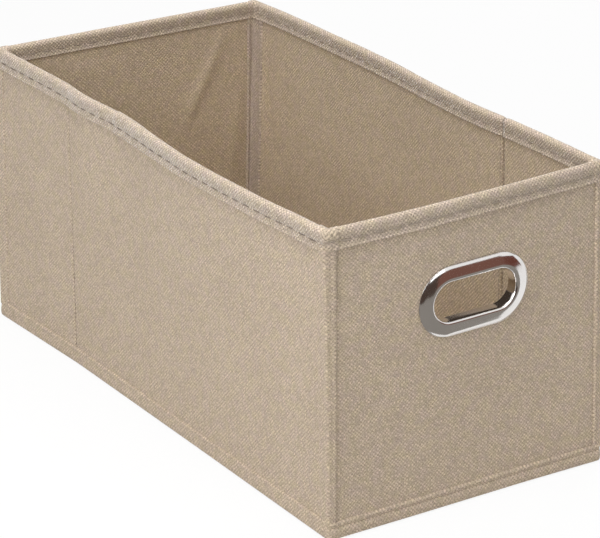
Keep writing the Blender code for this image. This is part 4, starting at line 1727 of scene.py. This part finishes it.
@dataclass(frozen=True)
class LooseBase:
    """The board that lifts out, and the cloth wrapped over it."""

    half_width: float = 0.0711
    half_length: float = 0.1505
    low: float = 1.15 * MM
    board_thick: float = 2.30 * MM
    round_corner: float = 3.0 * MM

    def wrap_line(self) -> Points:
        """Draw the cloth from the top, round the board's edge and a little way under.

        Returns:
            Distance out from the core of the corner, and height, in metres.
        """
        top = (self.low + self.board_thick) / MM + 0.75
        low = self.low / MM
        reach = self.round_corner / MM
        knots = [
            (0.0, top),
            (reach * 0.35, top - 0.02),
            (reach - 0.75, top - 0.18),
            (reach - 0.15, top - 0.75),
            (reach, low + 1.6),
            (reach - 0.12, low + 0.55),
            (reach - 0.60, low + 0.08),
            (reach - 1.50, low - 0.02),
            (reach - 2.60, low),
        ]
        return through(knots, 3) * MM

    def build(self) -> None:
        """Make the board, its cloth and the row of stitches round the top."""
        inset = 0.8 * MM
        board = self.wrapped(self.board_line(), 0.3 * MM, inset, solid=True)
        make_piece("loose_base_card", board, CARD, "loose_base", ("base_board",))
        cloth = self.wrapped(self.wrap_line(), 0.45 * MM, 0.0, solid=False)
        make_piece("loose_base_wrap", cloth, LINING_CLOTH, "loose_base", ("base_cover",))
        self.stitches()

    def board_line(self) -> Points:
        """Draw the board's edge from its top round to its underside."""
        top, low = (self.low + self.board_thick) / MM, self.low / MM + 0.15
        reach = self.round_corner / MM
        side = reach - 0.05
        knots = [(0.0, top), (reach - 0.5, top), (side, top - 0.4), (side, low + 0.4), (reach - 0.5, low)]
        return through(knots, 3) * MM

    def wrapped(self, line: Points, thick: float, inset: float, solid: bool) -> Shell:
        """Spread a grid over the base so that its edge follows a line.

        Formula: the grid's part over the core rectangle stays level.  Beyond the core, the
        larger of the two distances picks the place on the line, and the direction from the
        core's nearest point says which way it leads.

        Args:
            line: distance out and height, from the top on.
            thick: the sheet's thickness.
            inset: how far the whole piece keeps back from the base's sides.
            solid: whether the underside is one level sheet, as on a board.

        Returns:
            The closed shell.
        """
        travel = lengths(line)
        core = np.array([self.half_width, self.half_length]) - self.round_corner - inset
        edge = travel[1:]
        sides = []
        for half in core:
            level = samples(-half, half, 4 * MM)
            sides.append(np.concatenate([-half - edge[::-1], level, half + edge]))
        x, y = np.meshgrid(*sides)
        flat = np.stack([x, y], axis=-1)
        nearest = np.clip(flat, -core, core)
        beyond = flat - nearest
        far = np.max(np.abs(beyond), axis=-1)
        way = beyond / np.maximum(np.linalg.norm(beyond, axis=-1, keepdims=True), 1e-9)
        inside = offset_line(line, thick)

        def carried(profile: Points) -> Points:
            """Give the grid's points when its edge follows a profile."""
            out = np.interp(far, travel, profile[:, 0])
            height = np.interp(far, travel, profile[:, 1])
            return np.concatenate([nearest + way * out[..., None], height[..., None]], axis=-1)

        front = carried(line)
        back = carried(inside)
        if solid:
            back = front.copy()
            back[..., 2] = np.minimum(front[..., 2], line[-1, 1])
        return slab(front, back, flat)

    def stitches(self) -> None:
        """Sew a row round the top, a little way in from the edge."""
        sewing, inset = BASE_SEWING, 9 * MM
        half = np.array([self.half_width, self.half_length]) - inset
        height = self.low + self.board_thick + 0.75 * MM
        places, ways = [], []
        for axis, other in ((0, 1), (1, 0)):
            count = int(2 * half[axis] / sewing.pitch)
            middles = (np.arange(count) + 0.5) / count * 2 * half[axis] - half[axis]
            for side in (-1, 1):
                row = np.zeros((count, 3))
                row[:, axis], row[:, other], row[:, 2] = middles, side * half[other], height
                way = np.zeros((count, 3))
                way[:, axis] = 1
                places.append(row)
                ways.append(way)
        middles, along = np.concatenate(places), np.concatenate(ways)
        up = np.tile([0.0, 0.0, 1.0], (len(middles), 1))
        shell = stitch_run(middles, along, up, sewing.length, sewing.thick)
        make_piece("loose_base_stitches", shell, SEAM_THREAD, "loose_base")


@dataclass(frozen=True)
class BottomSheet:
    """The soft cloth that the walls are sewn to, lying on the table."""

    half_width: float = 0.0738
    half_length: float = 0.1538
    low: float = 0.12 * MM
    thick: float = 0.60 * MM

    def build(self) -> None:
        """Make the sheet, with soft wrinkles that die out at its sewn edges.

        Formula: the height is a sum of three slanting waves, times a rise from each edge.
        """
        halves = (self.half_width, self.half_length)
        x, y = np.meshgrid(*(samples(-half, half, 2.5 * MM) for half in halves))
        inner = ease(self.half_width - np.abs(x), 0, 20 * MM) * ease(self.half_length - np.abs(y), 0, 20 * MM)
        wave = np.sin(x * 90 + y * 40) + np.sin(y * 75 - x * 30 + 1.3) + np.sin((x + y) * 130 + 0.6)
        lift = (wave + 3) / 6 * 0.16 * MM * inner
        front = np.stack([x, y, self.low + self.thick + lift], axis=-1)
        back = np.stack([x, y, self.low + lift * 0.6], axis=-1)
        shell = slab(front, back, np.stack([x, y], axis=-1))
        piece = make_piece("bottom_sheet", shell, BOTTOM_CLOTH, "front_wall", ("bottom_cloth",))
        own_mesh(piece)


# Table, light and camera


def surface(name: str, grid: Points, material: bpy.types.Material) -> bpy.types.Object:
    """Lay an open surface over a grid of points.

    Args:
        name: the name of the object and its mesh.
        grid: rows of points.
        material: what it is made of.

    Returns:
        The new object, in the scene.
    """
    mesh = bpy.data.meshes.new(name)
    index = np.arange(grid.shape[0] * grid.shape[1]).reshape(grid.shape[:2])
    mesh.from_pydata(grid.reshape(-1, 3).tolist(), [], quads(index).tolist())
    mesh.materials.append(material)
    return show(bpy.data.objects.new(name, mesh))


@dataclass(frozen=True)
class SoftLight:
    """A square soft light that looks at the box: its place, its side and its power in watts."""

    name: str
    place: Triple
    side: float
    power: float

    def build(self) -> None:
        """Hang the light."""
        data = bpy.data.lights.new(self.name, "AREA")
        data.size = self.side
        data.energy = self.power
        light = show(bpy.data.objects.new(self.name, data))
        light.location = self.place
        aim = Vector((0.0, 0.0, 0.07)) - Vector(self.place)
        light.rotation_euler = aim.to_track_quat("-Z", "Y").to_euler()


LIGHTS = (
    SoftLight("key_light", (-0.85, -0.45, 0.75), 0.6, 6.6),
    SoftLight("top_light", (0.0, 0.1, 1.5), 1.0, 6.4),
    SoftLight("sky_light", (-0.35, -0.30, 1.40), 0.6, 9.4),
    SoftLight("fill_light", (0.15, -1.30, 0.75), 0.8, 1.9),
    SoftLight("back_light", (0.85, 0.80, 0.65), 0.7, 3.5),
)


@dataclass(frozen=True)
class GlossCard:
    """A card near the handle that only its chrome shows: a line of radii and heights.

    The line is turned about the ring's place over a range of compass angles.
    """

    name: str
    line: Outline
    span: Pair
    colour: Triple

    def build(self) -> None:
        """Make the card's surface and its even glow."""
        turn = np.radians(np.linspace(*self.span, 13))[:, None]
        reach, height = np.array(self.line).T[:, None, :]
        places = (reach * np.cos(turn), reach * np.sin(turn) - BOX.half_length, height)
        material, nodes = new_material(self.name)
        glow = nodes.add("ShaderNodeEmission", {"Color": (*self.colour, 1.0), "Strength": 1.0})
        nodes.tree.links.new(glow.outputs[0], material.node_tree.nodes["Material Output"].inputs[0])
        card = surface(self.name, np.stack(np.broadcast_arrays(*places), axis=-1), material)
        for ray in ("camera", "diffuse", "transmission", "volume_scatter", "shadow"):
            setattr(card, "visible_" + ray, False)


ROOM = ((0.70, 0.0), (0.70, 0.20), (0.70, 0.36))
ROOM_LOW = ((0.70, 0.0), (0.70, 0.12), (0.70, 0.24))
LEFT = ((0.50, 0.0), (0.50, 0.16), (0.50, 0.31))
LEFT_CORNER = ((0.16, 0.0006), (0.50, 0.0006), (0.50, 0.25))
BEHIND = ((1.10, 0.15), (1.10, 1.00), (0.45, 1.30))
FLOOR = ((0.045, 0.0), (0.29, 0.0), (0.71, 0.0))
GLOSS_CARDS = (
    GlossCard("red_brown_card", ROOM, (-69.0, -46.0), (0.195, 0.092, 0.070)),
    GlossCard("red_brown_card_low", ROOM_LOW, (-46.0, -24.0), (0.150, 0.055, 0.040)),
    GlossCard("dark_card_left", LEFT, (-128.0, -69.0), (0.075, 0.052, 0.042)),
    GlossCard("dark_card_corner", LEFT_CORNER, (-165.0, -128.0), (0.06, 0.05, 0.042)),
    GlossCard("dark_card_behind", BEHIND, (5.0, 150.0), (0.05, 0.038, 0.03)),
    GlossCard("grey_card_floor", FLOOR, (-175.0, -34.0), (0.28, 0.262, 0.24)),
)


@dataclass(frozen=True)
class Studio:
    """The pale table, the world, the cards and lights, and the camera."""

    camera_place: Triple = (-0.7811, -1.212, 0.650)
    azimuth: float = 33.09
    elevation: float = 22.17
    focal_px: float = 3123.0
    picture_width: float = 600.0
    table_glow: float = 0.88
    world_strength: float = 0.234

    def build(self) -> None:
        """Make the table, the world, the cards, the lights and the camera."""
        self.table()
        self.world()
        for thing in (*GLOSS_CARDS, *LIGHTS):
            thing.build()
        self.camera()
        bpy.context.scene.view_settings.view_transform = "Standard"

    def table(self) -> None:
        """Make the white table: it shows white and keeps a soft shadow."""
        side = samples(-6.0, 6.0, 1.0)
        y, x = np.meshgrid(side, side, indexing="ij")
        material, nodes = new_material("white_table")
        shader = material.node_tree.nodes["Principled BSDF"]
        shader.inputs["Base Color"].default_value = (0.80, 0.80, 0.80, 1.0)
        shader.inputs["Roughness"].default_value = 0.9
        glow = nodes.add("ShaderNodeEmission", {"Color": (1.0, 1.0, 1.0, 1.0), "Strength": 1.0})
        share = nodes.maths("MULTIPLY", nodes.seen(), self.table_glow)
        nodes.take_over(share, shader, glow, "Material Output")
        table = surface("table_top", np.stack([x, y, np.full_like(x, -0.0004)], axis=-1), material)

    def world(self) -> None:
        """Light softly from all round, and show white behind the box."""
        world = bpy.data.worlds.new("studio")
        world.use_nodes = True
        bpy.context.scene.world = world
        nodes = Nodes(world.node_tree)
        back = world.node_tree.nodes["Background"]
        back.inputs["Color"].default_value = (1.0, 0.985, 0.96, 1.0)
        back.inputs["Strength"].default_value = self.world_strength
        white = nodes.add("ShaderNodeBackground", {"Color": (1.0, 1.0, 1.0, 1.0), "Strength": 1.0})
        nodes.take_over(nodes.seen(), back, white, "World Output")

    def camera(self) -> None:
        """Set up the camera at the photograph's place."""
        data = bpy.data.cameras.new("camera")
        data.sensor_width = 36.0
        data.lens = self.focal_px * data.sensor_width / self.picture_width
        data.clip_end = 30.0
        camera = show(bpy.data.objects.new("camera", data))
        camera.location = self.camera_place
        turn, tilt = math.radians(self.azimuth), math.radians(self.elevation)
        aim = Vector((math.sin(turn) * math.cos(tilt), math.cos(turn) * math.cos(tilt), -math.sin(tilt)))
        camera.rotation_euler = aim.to_track_quat("-Z", "Y").to_euler()
        bpy.context.scene.camera = camera


REAR_FOLDS = (
    Fold((139, 138), (133, 66), 1.8, -0.55),
    Fold((132, 126), (128, 74), 2.4, 0.40),
    Fold((112, 116), (101, 86), 2.6, 0.50),
    Fold((122, 66), (134, 24), 3.0, 0.65),
    Fold((108, 60), (118, 22), 3.0, -0.50),
)
FAR_FOLDS = (
    Fold((55, 136), (30, 84), 4.2, 1.30),
    Fold((66, 112), (58, 30), 5.0, 0.95),
)


# How far boards stop short of a corner, of the front crease and of the rear one, where the
# lining stops short too.
CORNER_CUT, FRONT_CUT, REAR_CUT, REAR_LINING_CUT = 0.6 * MM, 2.0 * MM, 1.6 * MM, 1.4 * MM
END_WRAP = 2.0 * MM
CREASE_REACH = 5 * MM


def build_walls() -> None:
    """Build the stretches of the wall, and the two edges at the open rear crease."""
    low, high = BOX.panel_start - BOX.half_length, BOX.half_length - BOX.panel_start
    side = BOX.half_width - BOX.panel_start
    crease, gap, reach = BOX.crease, BOX.end_gap, CREASE_REACH
    front = ((-BOX.half_width, 0.0), (0, 1), (1, 0))
    rear = ((BOX.half_width, 0.0), (0, 1), (-1, 0))
    front_wall = Panel("front_wall", *front, low, crease - gap)
    front_wing = Panel("front_wing", *front, crease + gap, high)
    front_crease = Panel("front_crease", *front, crease - reach, crease + reach)
    rear_wall = Panel("rear_wall", *rear, gap - crease, high)
    rear_wing = Panel("rear_wing", *rear, low, -crease - gap)
    far_end = Panel("far_end", (0.0, BOX.half_length), (1, 0), (0, -1), -side, side)
    near_end = Panel("near_end", (0.0, -BOX.half_length), (1, 0), (0, 1), -side, side)
    walls = [
        FrontWall(front_wall, 0.4, cuts=(0, reach - gap), board_cuts=(CORNER_CUT, FRONT_CUT)),
        WallPanel(front_wing, 1.7, cuts=(reach - gap, 0), board_cuts=(FRONT_CUT, CORNER_CUT)),
        CreaseStrip(front_crease, 0.9, spacing=0.25 * MM),
        WallPanel(
            rear_wall,
            2.6,
            board_cuts=(REAR_CUT, CORNER_CUT),
            lining_cuts=(REAR_LINING_CUT, 0),
            folds=REAR_FOLDS,
            open_end=rear_wall.start,
        ),
        WallPanel(
            rear_wing,
            3.9,
            board_cuts=(CORNER_CUT, REAR_CUT),
            lining_cuts=(0, REAR_LINING_CUT),
            open_end=rear_wing.end,
        ),
        EndPanel(far_end, 4.8, spacing=1.3 * MM, wraps=END_WRAP, folds=FAR_FOLDS),
        HandleEnd(near_end, 5.5, wraps=END_WRAP),
    ]
    for wall in walls:
        wall.build()
    CreaseEdge(rear_wall, at_start=True).build()
    CreaseEdge(rear_wing, at_start=False).build()


CORNERS = (
    Corner("near", "left", "front_wall"),
    Corner("near", "right", "rear_wing"),
    Corner("far", "left", "front_wing"),
    Corner("far", "right", "rear_wall"),
)


def main() -> None:
    """Build the box piece by piece, then the studio."""
    logging.basicConfig(level=logging.INFO, format="%(name)s %(message)s")
    build_walls()
    LooseBase().build()
    BottomSheet().build()
    for corner in CORNERS:
        CornerPieces(corner).build()
    Studio().build()


if __name__ == "__main__":
    main()
